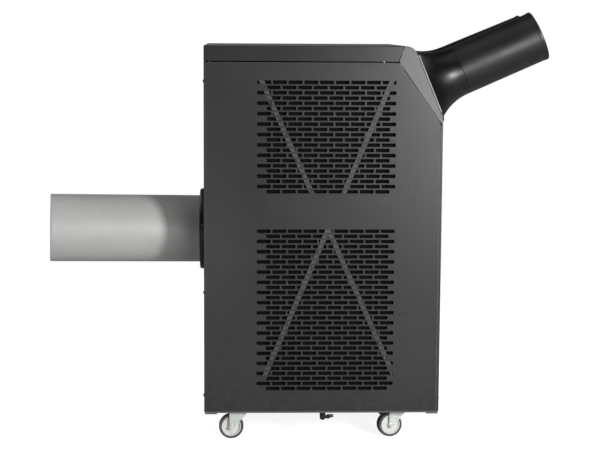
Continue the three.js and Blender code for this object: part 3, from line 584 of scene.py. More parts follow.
def soften(node, width, material):
    """Keeps a CAD node, rounds its edges and gives it a finish."""
    piece = frame["nodes"][node]
    bevel = piece.modifiers.new("edges", "BEVEL")
    bevel.width = width
    bevel.segments = 2
    bevel.limit_method = "ANGLE"
    bevel.angle_limit = math.radians(40)
    bevel.harden_normals = True
    repaint(node, material)


def repaint(node, material):
    data = frame["nodes"][node].data
    data.materials.clear()
    data.materials.append(material)
    data.shade_smooth()
    data.set_sharp_from_angle(angle=math.radians(30))


def screws(name, places, radius, material=STEEL_SCREW):
    """Pan-head screws with a round socket, riding on the cabinet; places are (point, outward direction).
    """
    bm = bmesh.new()
    height = radius * 0.55
    head = [
        (0, 0), (radius, 0), (radius, height * 0.35), (radius * 0.9, height * 0.75),
        (radius * 0.7, height), (radius * 0.42, height), (radius * 0.40, height * 0.4), (0, height * 0.4),
    ]
    for at, out in places:
        add_turned(bm, head, at, out, 24)
    finish_piece(name, bm, material, "cabinet", 40.0)


# ---------- cabinet sheets ----------


def slot_loop(y, z):
    """One punched slot, anticlockwise in (y, z)."""
    centre = Vector((y, z))
    return [centre + p for p in rectangle(SLOT_LENGTH, SLOT_HEIGHT, SLOT_CORNER, 3)]


def grille_slots():
    first_y = rear_y - GRILLE_REAR_MARGIN
    slots = []
    for top, rows in GRILLES:
        for row in range(rows):
            shifted = row % 2
            for i in range(LONG_ROW_SLOTS - shifted):
                y = first_y - (i + shifted * ROW_SHIFT) * SLOT_PITCH
                slots.append(slot_loop(y, top - row * ROW_PITCH - FLOOR_SHIFT))
    return slots


def side_outline():
    """The side sheet in (y, z), anticlockwise, with its front corner cut along the hood's fold."""
    fold_y = front_y + FOLD_TOP_INSET
    slope = (lid_lo.z - hood_lo.z) / (fold_y - front_y)
    front_top = panel_hi.z + (panel_lo.y - fold_y) * slope
    high = panel_hi.z - LID_GAP
    return [
        (panel_lo.y, panel_lo.z), (panel_hi.y, panel_lo.z), (panel_hi.y, high), (fold_y, high),
        (panel_lo.y, front_top - GROOVE * 1.7),
    ]


def make_side_panels():
    outline = rounded(side_outline(), 0.0008, 2)
    for side, x, holes in (("left", -half_width, grille_slots()), ("right", half_width - SHEET, [])):
        bm = bmesh.new()
        place = axes((x, 0, 0), BACK, UP)
        # The outside rim takes the lighter edge colour: worn paint and a painted edge highlight.
        add_sheet(bm, outline, holes, place, SHEET, CUT_EDGE, 1)
        panel = finish_piece(f"side_sheet_{side}", bm, CABINET, "cabinet", edge_material=EDGE_WEAR_AND_SHEEN)
        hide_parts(f"side_panel_{side}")


def round_folds(bm, lines):
    bmesh.ops.recalc_face_normals(bm, faces=bm.faces)
    bmesh.ops.bevel(bm, geom=lines, offset=FOLD_RADIUS, segments=4, profile=0.5, affect="EDGES")


def folded(corners, faces, folds):
    """A bent sheet of flat faces between named corners, with its named fold lines rounded."""
    bm = bmesh.new()
    verts = {}
    for key in (key for face in faces for key in face):
        if key not in verts:
            verts[key] = bm.verts.new(corners[key])
    for face in faces:
        bm.faces.new([verts[key] for key in face])
    round_folds(bm, [bm.edges.get((verts[a], verts[b])) for a, b in folds])
    return bm


def sheet_piece(name, bm, material, node, inward):
    """A bent sheet given its thickness on the side of `inward`, a point inside the cabinet."""
    bmesh.ops.recalc_face_normals(bm, faces=bm.faces)
    facing = sum(f.normal.dot(f.calc_center_median() - inward) * f.calc_area() for f in bm.faces)
    if facing < 0:
        bmesh.ops.reverse_faces(bm, faces=bm.faces)
    piece = new_piece(name, bm, [material, EDGE_WEAR_AND_SHEEN])
    wall = piece.modifiers.new("sheet", "SOLIDIFY")
    wall.thickness = SHEET
    wall.offset = -1.0
    # The rounded rim takes the lighter edge colour: worn paint and a painted edge highlight.
    rim = piece.modifiers.new("worn_and_sheen_edge", "BEVEL")
    rim.width = WORN_AND_SHEEN_EDGE
    rim.segments = 2
    rim.limit_method = "ANGLE"
    rim.angle_limit = math.radians(50)
    rim.material = 1
    weigh_normals(piece)
    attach(piece, "cabinet")
    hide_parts(node)


def make_lid():
    front = front_y + MITRE_TOP_INSET + SEAM + GROOVE
    foot = front_y + FOLD_TOP_INSET + SEAM + GROOVE
    low = lid_lo.z + GROOVE
    outline = [("a", rear_y, low), ("b", rear_y, lid_hi.z), ("c", front, lid_hi.z), ("d", foot, low)]
    corners = {}
    for side, x in (("l", -half_width), ("r", half_width)):
        for key, y, z in outline:
            corners[side + key] = (x, y, z)
    faces = (
        ("la", "lb", "lc", "ld"), ("ra", "rb", "rc", "rd"),
        ("lb", "rb", "rc", "lc"), ("la", "ra", "rb", "lb"),
    )
    folds = (("lb", "lc"), ("rb", "rc"), ("lb", "rb"), ("la", "lb"), ("ra", "rb"))
    bm = folded(corners, faces, folds)
    sheet_piece("lid_sheet", bm, LID, "top_lid", Vector((0, 0, lid_lo.z - 0.2)))


def hood_outline():
    """The hood's outer line in (y, z), from the lid's mitre over the bend and down to the front fold."""
    points = [Vector((front_y + MITRE_TOP_INSET - SEAM - GROOVE, lid_hi.z))]
    steps = 12
    centre = Vector((front_y + HOOD_BEND_INSET, lid_hi.z - HOOD_RADIUS))
    for i in range(steps + 1):
        angle = math.pi / 2 + (math.pi / 2 - FACE_TILT) * i / steps
        points.append(centre + HOOD_RADIUS * Vector((math.cos(angle), math.sin(angle))))
    points.append(Vector((front_y, FACE_FOOT)))
    points.append(Vector((front_y, hood_lo.z + GROOVE)))
    return points


hood_line = hood_outline()
face_out = Vector((0, -math.cos(FACE_TILT), math.sin(FACE_TILT)))
face_up = Vector((0, math.sin(FACE_TILT), math.cos(FACE_TILT)))
nozzle_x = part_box("nozzle_base_right")[1].x - FLANGE_WIDTH / 2


def face_point(x, up=0.0, out=0.0):
    """A point on the slanted face, measured from the height of the nozzles' centres."""
    y = front_y + (NOZZLE_CENTRE - FACE_FOOT) * math.tan(FACE_TILT)
    return Vector((x, y, NOZZLE_CENTRE)) + face_up * up + face_out * out


def face_rectangle(width, low, high, corner):
    middle = Vector((0, (low + high) / 2))
    return [p + middle for p in rectangle(width, high - low, corner, 8)]


def make_hood():
    bm = bmesh.new()
    sides = {}
    foot = Vector((front_y + FOLD_TOP_INSET - SEAM - GROOVE, panel_hi.z + SEAM + GROOVE))
    for x in (-half_width, half_width):
        sides[x] = [bm.verts.new((x, p.x, p.y)) for p in hood_line]
        bm.faces.new([bm.verts.new((x, foot.x, foot.y))] + sides[x])
    left, right = sides[-half_width], sides[half_width]
    slanted = len(hood_line) - 3
    for i in range(len(hood_line) - 1):
        if i != slanted:
            bm.faces.new((left[i], right[i], right[i + 1], left[i + 1]))
    corners = [left[slanted], right[slanted], right[slanted + 1], left[slanted + 1]]
    loops = [[Vector((v.co.x, (v.co - face_point(0)).dot(face_up))) for v in corners]]
    verts = list(corners)
    for x in (-nozzle_x, nozzle_x):
        loops.append(circle(x, 0, PORT_RADIUS, PORT_SEGMENTS))
        verts += [bm.verts.new(face_point(p.x, p.y)) for p in loops[-1]]
    for triangle in filled(loops):
        bm.faces.new([verts[i] for i in triangle])
    lines = [bm.edges.get(pair) for side in (left, right) for pair in zip(side, side[1:])]
    lines.append(bm.edges.get((left[-2], right[-2])))
    round_folds(bm, lines)
    sheet_piece("hood_sheet", bm, HOOD, "front_hood", Vector((0, front_y + 0.2, lid_lo.z - 0.1)))


def make_nozzle_plate():
    bm = bmesh.new()
    place = axes(face_point(0, 0, SEAM + PLATE_SHADOW_GAP), RIGHT, face_up)
    ports = [circle(x, 0, PORT_RADIUS, PORT_SEGMENTS) for x in (-nozzle_x, nozzle_x)]
    outline = face_rectangle(PLATE_WIDTH, PLATE_LOW, PLATE_HIGH, 0.002)
    add_sheet(bm, outline, ports, place, PLATE_THICK - PLATE_SHADOW_GAP, 0.0006)
    plate = finish_piece("nozzle_plate_sheet", bm, LIGHT_PAINT, "cabinet")
    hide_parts("nozzle_plate")


def make_front_sheet():
    lo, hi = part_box("front_panel")
    corners = {}
    for side, x in (("l", lo.x), ("r", hi.x)):
        for depth, y in (("f", lo.y), ("b", hi.y)):
            for level, z in (("0", lo.z), ("1", hi.z)):
                corners[side + depth + level] = (x, y, z)
    faces = (("lf0", "rf0", "rf1", "lf1"), ("lf0", "lb0", "lb1", "lf1"), ("rf0", "rb0", "rb1", "rf1"))
    bm = folded(corners, faces, (("lf0", "lf1"), ("rf0", "rf1")))
    sheet_piece("front_sheet", bm, CABINET, "front_panel", Vector((0, 0, 0.4)))


make_side_panels()
make_lid()
make_hood()
make_nozzle_plate()
make_front_sheet()
soften("rear_panel", 0.0006, CABINET)
soften("base_pan", 0.0006, HOOD)
soften("brace_bar_front", 0.0004, GREY_PAINT)
soften("brace_bar_rear", 0.0004, GREY_PAINT)


def edge_screws():
    """Screws along the rear sheet, the hood's front strip and the front sheet's foot."""
    inset = 0.018
    xs = (-half_width + inset, half_width - inset)
    rows = [panel_lo.z + 0.04, (panel_lo.z + panel_hi.z) / 2 - 0.14, panel_hi.z - 0.05]
    places = [(Vector((x, rear_y, z)), BACK) for x in xs for z in rows]
    places += [(Vector((x, rear_y, lid_lo.z + 0.019)), BACK) for x in (-0.15, 0.15)]
    places += [(Vector((x, front_y, panel_lo.z + 0.03)), -BACK) for x in xs]
    places += [(Vector((x, front_y, hood_lo.z + 0.010)), -BACK) for x in xs]
    screws("cabinet_screws", places, CABINET_SCREW, CABINET)


edge_screws()

# ---------- inside ----------


def make_filters():
    """Each filter: black mesh in a bent metal frame."""
    for node in ("air_filter_upper", "air_filter_lower"):
        lo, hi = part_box(node)
        repaint(node, FILTER)
        centre = ((lo.y + hi.y) / 2, (lo.z + hi.z) / 2)
        size = (hi.y - lo.y, hi.z - lo.z)
        outer = rectangle(*size, 0.004, 2)
        inner = rectangle(size[0] - 2 * FILTER_RAIL, size[1] - 2 * FILTER_RAIL, 0.003, 2)
        bm = bmesh.new()
        place = axes((lo.x - 0.0012, *centre), BACK, UP)
        add_sheet(bm, outer, [inner], place, 0.002, 0.0003)
        finish_piece(f"{node}_frame", bm, FRAME_RAIL, "cabinet")


make_filters()
# Both coils take the fin colour, with painted shade between the fins.
for node in ("evaporator_coil", "condenser_coil"):
    repaint(node, FINS_WITH_GAP_SHADE)
for node in ("mid_deck", "blower_housing", "nozzle_plenum"):
    soften(node, 0.0005, GALVANISED)
for node in ("compressor", "accumulator"):
    repaint(node, PLASTIC)
for node in ("suction_pipe", "discharge_pipe"):
    repaint(node, COPPER)
for node in ("exhaust_fan_motor", "blower_motor"):
    soften(node, 0.0015, MOTOR)
for node in ("exhaust_fan_shroud", "drip_tray"):
    soften(node, 0.0005, GUARD_PLASTIC)
repaint("blower_wheel", GALVANISED)
soften("control_box", 0.003, ENCLOSURE)


def grid_rim(grid):
    """The outer points of a grid, in order around it."""
    first_side = [row[0] for row in grid[-2:0:-1]]
    last_side = [row[-1] for row in grid[1:]]
    return grid[0] + last_side + grid[-1][-2::-1] + first_side


def blade_grid(middle, tip, depth, start, spans=10, chords=8):
    """Points of one twisted blade, row by row from the hub to the tip, starting at an angle."""
    limit = depth / 2 - 0.001
    grid = []
    for i in range(spans + 1):
        t = i / spans
        radius = FAN_HUB - 0.002 + (tip - 0.001 - FAN_HUB + 0.002) * t
        pitch = math.radians(52 - 26 * t)
        chord = 0.026 + 0.012 * t
        row = []
        for j in range(chords + 1):
            s = j / chords - 0.5
            swing = chord * s * math.cos(pitch) / radius + 0.35 * t
            rise = chord * s * math.sin(pitch) + 0.0025 * (1 - 4 * s * s)
            rise = max(min(rise, limit), -limit)
            angle = start + swing
            row.append(middle + Vector((radius * math.cos(angle), rise, radius * math.sin(angle))))
        grid.append(row)
    return grid


def make_fan():
    """Exhaust fan: round hub with a domed nose and twisted blades."""
    lo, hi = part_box("exhaust_fan_wheel")
    spin = Vector(joints["fan_spin"]["pos_m"])
    depth = hi.y - lo.y
    middle = Vector((0, (lo.y + hi.y) / 2, spin.z))
    bm = bmesh.new()
    nose = rounded([
        (FAN_BORE, -depth / 2), (FAN_HUB, -depth / 2), (FAN_HUB, depth * 0.25),
        (FAN_HUB * 0.7, depth / 2), (FAN_BORE, depth / 2),
    ], 0.004)
    add_turned(bm, nose, middle, BACK, 48)
    for b in range(FAN_BLADES):
        grid = blade_grid(middle, hi.x, depth, 2 * math.pi * b / FAN_BLADES)
        rims = []
        for lift in (0.0, BLADE_THICK):
            surface = [[bm.verts.new(p + BACK * lift) for p in row] for row in grid]
            for row, following in zip(surface, surface[1:]):
                for k in range(len(row) - 1):
                    bm.faces.new((row[k], row[k + 1], following[k + 1], following[k]))
            rims.append(grid_rim(surface))
        low, high = rims
        for k in range(len(low)):
            n = (k + 1) % len(low)
            bm.faces.new((low[k], low[n], high[n], high[k]))
    wheel = finish_piece("fan_rotor", bm, GUARD_PLASTIC, "fan", 50.0)
    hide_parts("exhaust_fan_wheel")


make_fan()

# ---------- nozzles ----------


def flare_radius(along):
    return TUBE_RADIUS + FLARE_GROWTH * (NOZZLE_BASE_LENGTH - along) ** FLARE_POWER


def clip_to_flange(bm, origin, seat):
    """Cuts the flare's foot square to the flange and ends it on the flange's face."""
    half = FLANGE_WIDTH / 2 - FLARE_LIP
    sides = (
        (RIGHT, half), (-RIGHT, half),
        (face_up, FLANGE_HIGH - FLARE_LIP), (-face_up, -FLANGE_LOW - FLARE_LIP), (-face_out, -seat),
    )
    for outward, reach in sides:
        limit = origin + outward * reach
        everything = bm.verts[:] + bm.edges[:] + bm.faces[:]
        bmesh.ops.bisect_plane(bm, geom=everything, dist=1e-6, plane_co=limit, plane_no=outward)
        for vert in bm.verts:
            past = (vert.co - limit).dot(outward)
            near = (vert.co - origin).dot(face_out) < NOZZLE_BASE_LENGTH / 2
            if past > 0 and near:
                vert.co -= outward * past


def make_nozzle(side, x):
    bore = TUBE_RADIUS - TUBE_WALL - 0.001
    seat = PLATE_THICK + 2 * SEAM
    origin = face_point(x)
    axis = Vector(joints[f"nozzle_pull_{side}"]["axis"])
    bm = bmesh.new()
    profile = [(bore, 0.0)]
    for i in range(FLARE_STEPS + 1):
        along = NOZZLE_BASE_LENGTH * i / FLARE_STEPS
        profile.append((flare_radius(along), along))
    profile += [(TUBE_RADIUS - 0.0006, NOZZLE_BASE_LENGTH), (bore, NOZZLE_BASE_LENGTH)]
    add_turned(bm, profile, origin, axis, TUBE_SEGMENTS)
    clip_to_flange(bm, origin, seat + FLANGE_THICK * 0.6)
    side_cut = FLANGE_WIDTH / 2 - FLARE_LIP - 1e-5
    for face in bm.faces:
        face.material_index = int(min(abs(vert.co.x - x) for vert in face.verts) > side_cut)
    rim = face_rectangle(FLANGE_WIDTH, FLANGE_LOW, FLANGE_HIGH, FLANGE_CORNER)
    opening = circle(0, 0, TUBE_RADIUS, PORT_SEGMENTS)
    place = axes(face_point(x, 0, seat), RIGHT, face_up)
    add_sheet(bm, rim, [opening], place, FLANGE_THICK, 0.0012)
    heel = face_rectangle(FLANGE_WIDTH - 2 * FLANGE_CORNER, FLANGE_LOW, PLATE_LOW - SEAM, 0.001)
    add_prism(bm, heel, axes(face_point(x, 0, SEAM), RIGHT, face_up), seat, 0.0)
    base = finish_piece(f"nozzle_flare_{side}", bm, GLOSS_PLASTIC, "cabinet", 24.0, MATT_PLASTIC)
    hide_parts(f"nozzle_base_{side}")

    start = NOZZLE_BASE_LENGTH + SEAM
    spigot = bore - SEAM
    inner = spigot - TUBE_WALL
    rim = NOZZLE_LENGTH
    tube_profile = [
        (inner, start - SPIGOT_LENGTH), (spigot, start - SPIGOT_LENGTH), (spigot, start),
        (TUBE_RADIUS - 0.0008, start), (TUBE_RADIUS, start + 0.0008), (TUBE_RADIUS, rim - 0.012),
        (TUBE_RADIUS + 0.0008, rim - 0.009), (TUBE_RADIUS + 0.0010, rim - 0.005),
        (TUBE_RADIUS + 0.0006, rim - 0.0015), (TUBE_RADIUS - 0.001, rim),
        (inner + 0.004, rim), (inner + 0.001, rim - 0.002), (inner, rim - 0.006),
    ]
    bm = bmesh.new()
    add_turned(bm, tube_profile, origin, axis, TUBE_SEGMENTS)
    tube = finish_piece(f"nozzle_barrel_{side}", bm, PLASTIC, f"nozzle_{side}")
    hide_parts(f"nozzle_tube_{side}")

    reach = FLANGE_WIDTH / 2 - 0.010
    spots = [(face_point(x + u * reach, v, seat + FLANGE_THICK), face_out)
             for u in (-1, 1) for v in (FLANGE_LOW + 0.010, FLANGE_HIGH - 0.010)]
    screws(f"nozzle_screws_{side}", spots, NOZZLE_SCREW, PLASTIC)


make_nozzle("left", -nozzle_x)
make_nozzle("right", nozzle_x)

# ---------- exhaust ----------


def spoke(degrees):
    """A direction square to the duct, turned up from the +X axis."""
    angle = math.radians(degrees)
    return Vector((math.cos(angle), 0, math.sin(angle)))


def make_exhaust():
    centre = Vector((0, 0, duct_z))
    end = DUCT_LENGTH
    inside = DUCT_RADIUS - DUCT_WALL
    profile = [
        (inside, -DUCT_INSERT), (DUCT_RADIUS, -DUCT_INSERT), (DUCT_RADIUS, end - 0.004),
        (DUCT_RADIUS - 0.0004, end - 0.0015), (DUCT_RADIUS - 0.0012, end), (inside, end - 0.0006),
    ]
    bm = bmesh.new()
    add_turned(bm, profile, (0, rear_y, duct_z), joints["duct_pull"]["axis"], TUBE_SEGMENTS)
    duct = finish_piece("duct_tube", bm, ALUMINIUM, "duct")
    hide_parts("exhaust_duct")

    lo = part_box("exhaust_collar")[0].y
    ring = [(COLLAR_BORE, lo), (COLLAR_RADIUS, lo), (COLLAR_RADIUS, lo + COLLAR_THICK),
            (COLLAR_BORE, lo + COLLAR_THICK)]
    bm = bmesh.new()
    add_turned(bm, rounded(ring, 0.006, 8), centre, BACK, 128)
    collar = finish_piece("collar_ring", bm, PLASTIC, "cabinet", 50.0)
    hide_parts("exhaust_collar")

    out = BACK * (lo + COLLAR_THICK - 0.0004)
    reach = COLLAR_RADIUS - 0.0085
    spots = [(centre + spoke(degrees) * reach + out, BACK) for degrees in (45, 135, 225, 315)]
    screws("collar_screws", spots, COLLAR_SCREW)
    side = spoke(168)
    clamp = centre + side * (COLLAR_RADIUS - 0.0012) + BACK * (lo + COLLAR_THICK * 0.5)
    screws("collar_clamp_screw", [(clamp, side)], CLAMP_SCREW)


make_exhaust()

# ---------- controls and power inlet ----------


def make_control_plate():
    """The plate with its display window and four keys."""
    lo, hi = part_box("control_panel_plate")
    size = (hi.x - lo.x, hi.z - lo.z)
    middle = (lo.z + hi.z) / 2
    place = axes((0, hi.y, middle), RIGHT, UP)
    glass = [Vector((p.x, p.y + DISPLAY_RISE)) for p in rectangle(*DISPLAY_SIZE, 0.003)]
    holes = [glass]
    keys = [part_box(f"button_{i}") for i in range(1, 5)]
    for low, high in keys:
        radius = (high.x - low.x) / 2 + 0.0004
        holes.append(circle((low.x + high.x) / 2, (low.z + high.z) / 2 - middle, radius, 32))
    bm = bmesh.new()
    add_sheet(bm, rectangle(*size, 0.010), holes, place, hi.y - lo.y, 0.0008)
    plate = finish_piece("control_fascia", bm, PLASTIC, "cabinet")
    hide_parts("control_panel_plate")

    bm = bmesh.new()
    back = axes((0, hi.y - 0.0008, middle), RIGHT, UP)
    add_prism(bm, [(p.x * 0.99, p.y) for p in glass], back, 0.0016, 0.0003)
    finish_piece("display_window", bm, GLASS, "cabinet")

    for i, (low, high) in enumerate(keys, 1):
        centre = Vector(((low.x + high.x) / 2, 0, (low.z + high.z) / 2))
        r = (high.x - low.x) / 2
        back = KEY_TRAVEL - high.y
        profile = [(0, back), (r, back), (r, -low.y - 0.0012), (r * 0.9, -low.y - 0.0002),
                   (r * 0.7, -low.y), (r * 0.4, -low.y - 0.0004), (0, -low.y - 0.0006)]
        bm = bmesh.new()
        add_turned(bm, profile, centre, -BACK, 48)
        key = finish_piece(f"key_cap_{i}", bm, KEY_PLASTIC, f"key_{i}")
        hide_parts(f"button_{i}")


def make_gland():
    lo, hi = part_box("cord_gland")
    centre = (lo + hi) / 2
    bm = bmesh.new()
    outline = [(0.005, lo.y), (0.009, lo.y), (0.009, rear_y + SEAM), (0.0115, rear_y + SEAM),
               (0.0115, rear_y + 0.0035), (0.0095, hi.y - 0.001), (0.008, hi.y), (0.005, hi.y)]
    add_turned(bm, outline, (centre.x, 0, centre.z), BACK, 48)
    hexagon = circle(0, 0, 0.0138, NUT_SIDES)
    nut = axes((centre.x, rear_y + 0.004, centre.z), RIGHT, UP)
    add_prism(bm, hexagon, nut, 0.0036, 0.0005)
    gland = finish_piece("inlet_gland", bm, PLASTIC, "cabinet")
    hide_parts("cord_gland")


make_control_plate()
make_gland()

# ---------- drain valve ----------


def make_drain():
    lo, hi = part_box("drain_valve_body")
    x = (lo.x + hi.x) / 2
    y = hi.y - 0.0075
    pivot = Vector(joints["drain_turn"]["pos_m"])
    bm = bmesh.new()
    body = [
        (0, lo.z + 0.001), (0.0030, lo.z + 0.0013), (0.0056, lo.z + 0.0032), (0.0071, lo.z + 0.0062),
        (0.0075, lo.z + 0.0095), (0.0075, lo.z + 0.022), (0.0060, lo.z + 0.024), (0.0060, hi.z), (0, hi.z),
    ]
    add_turned(bm, body, (x, y, 0), UP, 48)
    barbs = [(0, 0.004)]
    reach = y - lo.y
    for k in range(3):
        start = reach * 0.45 + k * reach * 0.18
        barbs += [(0.0036, start), (0.0045, start), (0.0036, start + reach * 0.16)]
    barbs += [(0.0034, reach), (0, reach)]
    add_turned(bm, barbs, (x, y, pivot.z), -BACK, 32)
    hexagon = circle(0, 0, 0.0088, NUT_SIDES)
    nut = axes((x, y, lo.z + 0.026), RIGHT, BACK)
    add_prism(bm, hexagon, nut, 0.006, 0.0006)
    valve = finish_piece("drain_valve", bm, PLASTIC, "cabinet")
    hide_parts("drain_valve_body")

    low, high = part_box("drain_lever")
    bm = bmesh.new()
    length = high.y - 0.005 - low.y
    knob = 0.0049
    arm = rounded([
        (0.004, -0.0046), (0.004, 0.0046), (-length * 0.40, 0.0042), (-length * 0.55, knob),
        (-length, knob), (-length, -knob), (-length * 0.55, -knob), (-length * 0.40, -0.0042),
    ], 0.0042, 6)
    place = axes((low.x + 0.0005, pivot.y, pivot.z), BACK, UP)
    add_prism(bm, arm, place, 0.0026, 0.0006)
    boss = [(0, low.x), (0.0046, low.x), (0.005, low.x + 0.0006), (0.005, high.x), (0, high.x)]
    add_turned(bm, boss, (0, pivot.y, pivot.z), RIGHT, 32)
    lever = finish_piece("drain_handle", bm, PLASTIC, "drain_tap")
    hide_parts("drain_lever")


make_drain()

# ---------- casters ----------


def caster_pivot(name):
    """The point on the floor under a caster's swivel."""
    swivel = Vector(joints[f"swivel_{name}"]["pos_m"])
    return Vector((swivel.x, swivel.y, 0))


def wheel_axes(name):
    """A wheel's centre, the direction of its axle and the direction it trails in."""
    roll = joints[f"roll_{name}"]
    across = Vector(roll["axis"])
    return Vector(roll["pos_m"]), across, UP.cross(across)


def make_top_plate(name):
    pivot = caster_pivot(name)
    lo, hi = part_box(f"caster_plate_{name}")
    size = hi.x - lo.x
    under = hi.z - TOP_PLATE_THICK
    bm = bmesh.new()
    place = axes((pivot.x, pivot.y, under), RIGHT, BACK)
    add_prism(bm, rectangle(size, size, 0.006), place, TOP_PLATE_THICK, 0.0006)
    race = [
        (0.007, lo.z), (0.018, lo.z), (0.020, lo.z + 0.002), (0.020, hi.z - 0.006),
        (0.022, under), (0.007, under),
    ]
    add_turned(bm, race, pivot, UP, 64)
    plate = finish_piece(f"top_plate_{name}", bm, ZINC, "cabinet")
    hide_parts(f"caster_plate_{name}")
    reach = PLATE_BOLT_OFFSET
    spots = [(Vector((pivot.x + u * reach, pivot.y + v * reach, under)), -UP)
             for u in (-1, 1) for v in (-1, 1)]
    screws(f"plate_bolts_{name}", spots, PLATE_BOLT)


def make_fork(name):
    """The crown with its king pin and two legs, and the axle bolt with its nuts."""
    pivot = caster_pivot(name)
    axle, across, trailing = wheel_axes(name)
    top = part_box(f"caster_plate_{name}")[0].z - 0.0005
    low = top - CROWN_THICK
    bm = bmesh.new()
    crown = rectangle(0.035, 0.0435, 0.010)
    middle = pivot + trailing * 0.00075
    add_prism(bm, crown, axes((middle.x, middle.y, low), across, trailing), CROWN_THICK, 0.0010, 3)
    add_turned(bm, [(0, low), (0.006, low), (0.006, top + 0.008), (0, top + 0.008)], pivot, UP, 32)
    root = top - 0.0006
    leg = rounded([
        (-0.021, root), (-0.021, 0.066), (-0.011, 0.054), (-0.004, 0.047),
        (0.013, 0.0265), (0.0225, 0.0265), (0.0225, 0.040), (0.0225, root),
    ], 0.004, 6)
    for offset in FORK_LEGS:
        add_prism(bm, leg, axes(pivot + across * offset, trailing, UP), FORK_THICK, 0.0005)
    fork = finish_piece(f"fork_{name}", bm, ZINC, f"caster_{name}")
    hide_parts(f"caster_fork_{name}")

    bm = bmesh.new()
    bolt = [(0, -0.0182), (0.004, -0.0182), (0.004, 0.0182), (0, 0.0182)]
    add_turned(bm, bolt, axle, across, 32)
    hexagon = circle(0, 0, 0.0062, NUT_SIDES)
    for offset in AXLE_NUTS:
        add_prism(bm, hexagon, axes(axle + across * offset, trailing, UP), 0.0038, 0.0005)
    finish_piece(f"axle_bolt_{name}", bm, ZINC, f"caster_{name}")


def make_wheel(name):
    """The webbed hub and the tyre around it."""
    axle, across, _ = wheel_axes(name)
    half = HUB_HALF_WIDTH
    web = half - 0.0045
    lip = TYRE_LIP - SEAM
    side = [
        (0.0044, half), (0.0085, half), (0.0095, web + 0.001), (0.0185, web), (0.0195, web - 0.0012),
        (0.0205, web - 0.0012), (0.0215, web + 0.001), (0.0222, half - 0.001), (0.0232, half - 0.0004),
        (0.0246, half - 0.0008), (lip, half - 0.0016), (lip, TYRE_SEAT), (HUB_RADIUS, TYRE_SEAT),
    ]
    bm = bmesh.new()
    add_turned(bm, side + [(r, -a) for r, a in reversed(side)], axle, across, 96)
    wheel = finish_piece(f"wheel_disc_{name}", bm, HUB_PLASTIC, f"wheel_{name}", 28.0)
    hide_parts(f"wheel_hub_{name}")

    width = TYRE_HALF_WIDTH
    seat = TYRE_SEAT + SEAM
    inner = HUB_RADIUS + SEAM
    tread = rounded([
        (TYRE_LIP, -width), (WHEEL_RADIUS - 0.001, -width), (WHEEL_RADIUS, -width * 0.45),
        (WHEEL_RADIUS, width * 0.45), (WHEEL_RADIUS - 0.001, width), (TYRE_LIP, width),
        (TYRE_LIP, seat), (inner, seat), (inner, -seat), (TYRE_LIP, -seat),
    ], 0.0014, 5)
    bm = bmesh.new()
    add_turned(bm, tread, axle, across, 96)
    tyre = finish_piece(f"tyre_ring_{name}", bm, RUBBER, f"wheel_{name}", 40.0)
    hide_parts(f"tyre_{name}")


def around(radius, degrees):
    """A point of the wheel's side view, turned up from the trailing direction."""
    angle = math.radians(degrees)
    return (radius * math.cos(angle), radius * math.sin(angle))


def make_pedal(name):
    """The brake pedal: a curved shoe over the tyre, its hinge pin and three grip ridges."""
    hinge = Vector(joints[f"brake_{name}"]["pos_m"])
    axle, across, trailing = wheel_axes(name)
    half = PEDAL_WIDTH / 2
    inner = WHEEL_RADIUS + PEDAL_CLEARANCE
    bm = bmesh.new()
    under = [around(inner, a) for a in range(46, 77, 5)]
    over = [around(inner + PEDAL_THICK, a) for a in range(76, 45, -5)]
    add_prism(bm, under + over, axes(axle - across * half, trailing, UP), PEDAL_WIDTH, 0.0009, 3)
    pin = [(0, -half), (0.0022, -half), (0.0026, -half + 0.0004), (0.0026, half - 0.0004), (0.0022, half),
           (0, half)]
    add_turned(bm, pin, hinge, across, 32)
    for degrees in (50, 55, 60):
        ridge = [around(inner + 0.0036, degrees), around(inner + 0.0036, degrees + 2),
                 around(inner + 0.0048, degrees + 1)]
        add_prism(bm, ridge, axes(axle - across * 0.009, trailing, UP), 0.018)
    pedal = finish_piece(f"pedal_{name}_cap", bm, PLASTIC, f"pedal_{name}")
    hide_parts(f"brake_pedal_{name}")


for caster in CASTERS:
    make_top_plate(caster)
    make_fork(caster)
    make_wheel(caster)
for caster in CASTERS[2:]:
    make_pedal(caster)

# ---------- floor, light and camera ----------


def make_floor():
    bm = bmesh.new()
    bm.faces.new([bm.verts.new((p.x, p.y, 0)) for p in circle(0, 0, FLOOR_RADIUS, 96)])
    floor = new_piece("floor", bm, [pale_floor()])


def aim(thing, at, direction, roll=0.0):
    """Places a light or camera and points it along a direction."""
    thing.location = at
    thing.rotation_mode = "QUATERNION"
    thing.rotation_quaternion = direction.to_track_quat("-Z", "Y") @ Quaternion((0, 0, 1), roll)


def soft_light(name, at, towards, size, power):
    light = bpy.data.lights.new(name, "AREA")
    light.shape = "RECTANGLE"
    light.size, light.size_y = size
    light.energy = power
    aim(new_object(name, light), at, Vector(towards) - Vector(at))


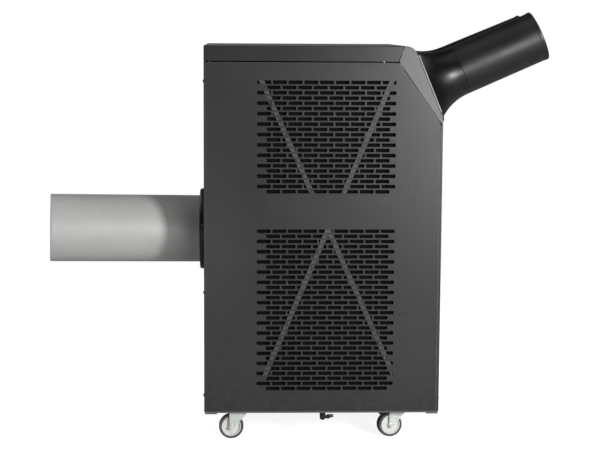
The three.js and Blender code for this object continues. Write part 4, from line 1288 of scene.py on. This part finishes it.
def make_sky():
    """A white backdrop; as light it is grey low down, dark overhead and a little paler toward +X."""
    world = bpy.data.worlds.new("studio")
    bpy.context.scene.world = world
    world.use_nodes = True
    sky = Graph(world.node_tree, "Generated")
    low, high = grey(SKY_LOW), grey(SKY_HIGH)
    rise = sky.spread(sky.part("Z"), 0.0, 1.0, -1.0, 1.0)
    shade = sky.ramp(rise, (0.0, low), (0.45, low), (0.56, high), (1.0, high))
    glow = sky.spread(sky.part("X"), 0.0, BACKDROP_GLOW, BACKDROP_EDGE, 1.0)
    backdrop = sky.mix(sky.add(sky.seen(), glow), shade, WHITE)
    background = sky.nodes["Background"]
    tune(background, Strength=1.0)
    sky.links.new(backdrop, background.inputs["Color"])


# Each light: name, position, the point it is aimed at, (width, height), watts.
LIGHTS = (
    ("key", (-3.4, -2.05, 1.35), (0, 0, 0.6), (0.45, 0.6), 122),
    ("side_fill", (-3.7, -1.15, 0.75), (0, 0, 0.6), (1.0, 1.0), 24),
    ("bounce", (-2.6, 0.9, 0.15), (0, 0.3, 0.6), (1.2, 0.5), 4),
    ("top", (-0.6, 0.3, 3.2), (0, 0, 0.6), (2.0, 2.0), 7),
    ("rim", (1.6, 2.6, 3.0), (0, 0, 0.6), (2.2, 1.8), 36),
    ("fill", (1.6, -2.6, 3.0), (0, 0, 0.6), (2.2, 1.8), 28),
)
CAMERA_AT = Vector((-4.233, rear_y - 0.0955, 1.0588))
CAMERA_YAW = math.radians(-2.12)
CAMERA_PITCH = math.radians(7.13)
CAMERA_ROLL = math.radians(0.32)
CAMERA_LENS = 95.3


def make_camera():
    data = bpy.data.cameras.new("photo_view")
    data.lens = CAMERA_LENS
    data.sensor_width = 36.0
    camera = new_object("photo_view", data)
    forward = Vector((
        math.cos(CAMERA_PITCH) * math.cos(CAMERA_YAW),
        math.cos(CAMERA_PITCH) * math.sin(CAMERA_YAW),
        -math.sin(CAMERA_PITCH),
    ))
    aim(camera, CAMERA_AT, forward, CAMERA_ROLL)
    bpy.context.scene.camera = camera


make_floor()
make_sky()
for light in LIGHTS:
    soft_light(*light)
make_camera()
bpy.context.scene.view_settings.view_transform = "Standard"
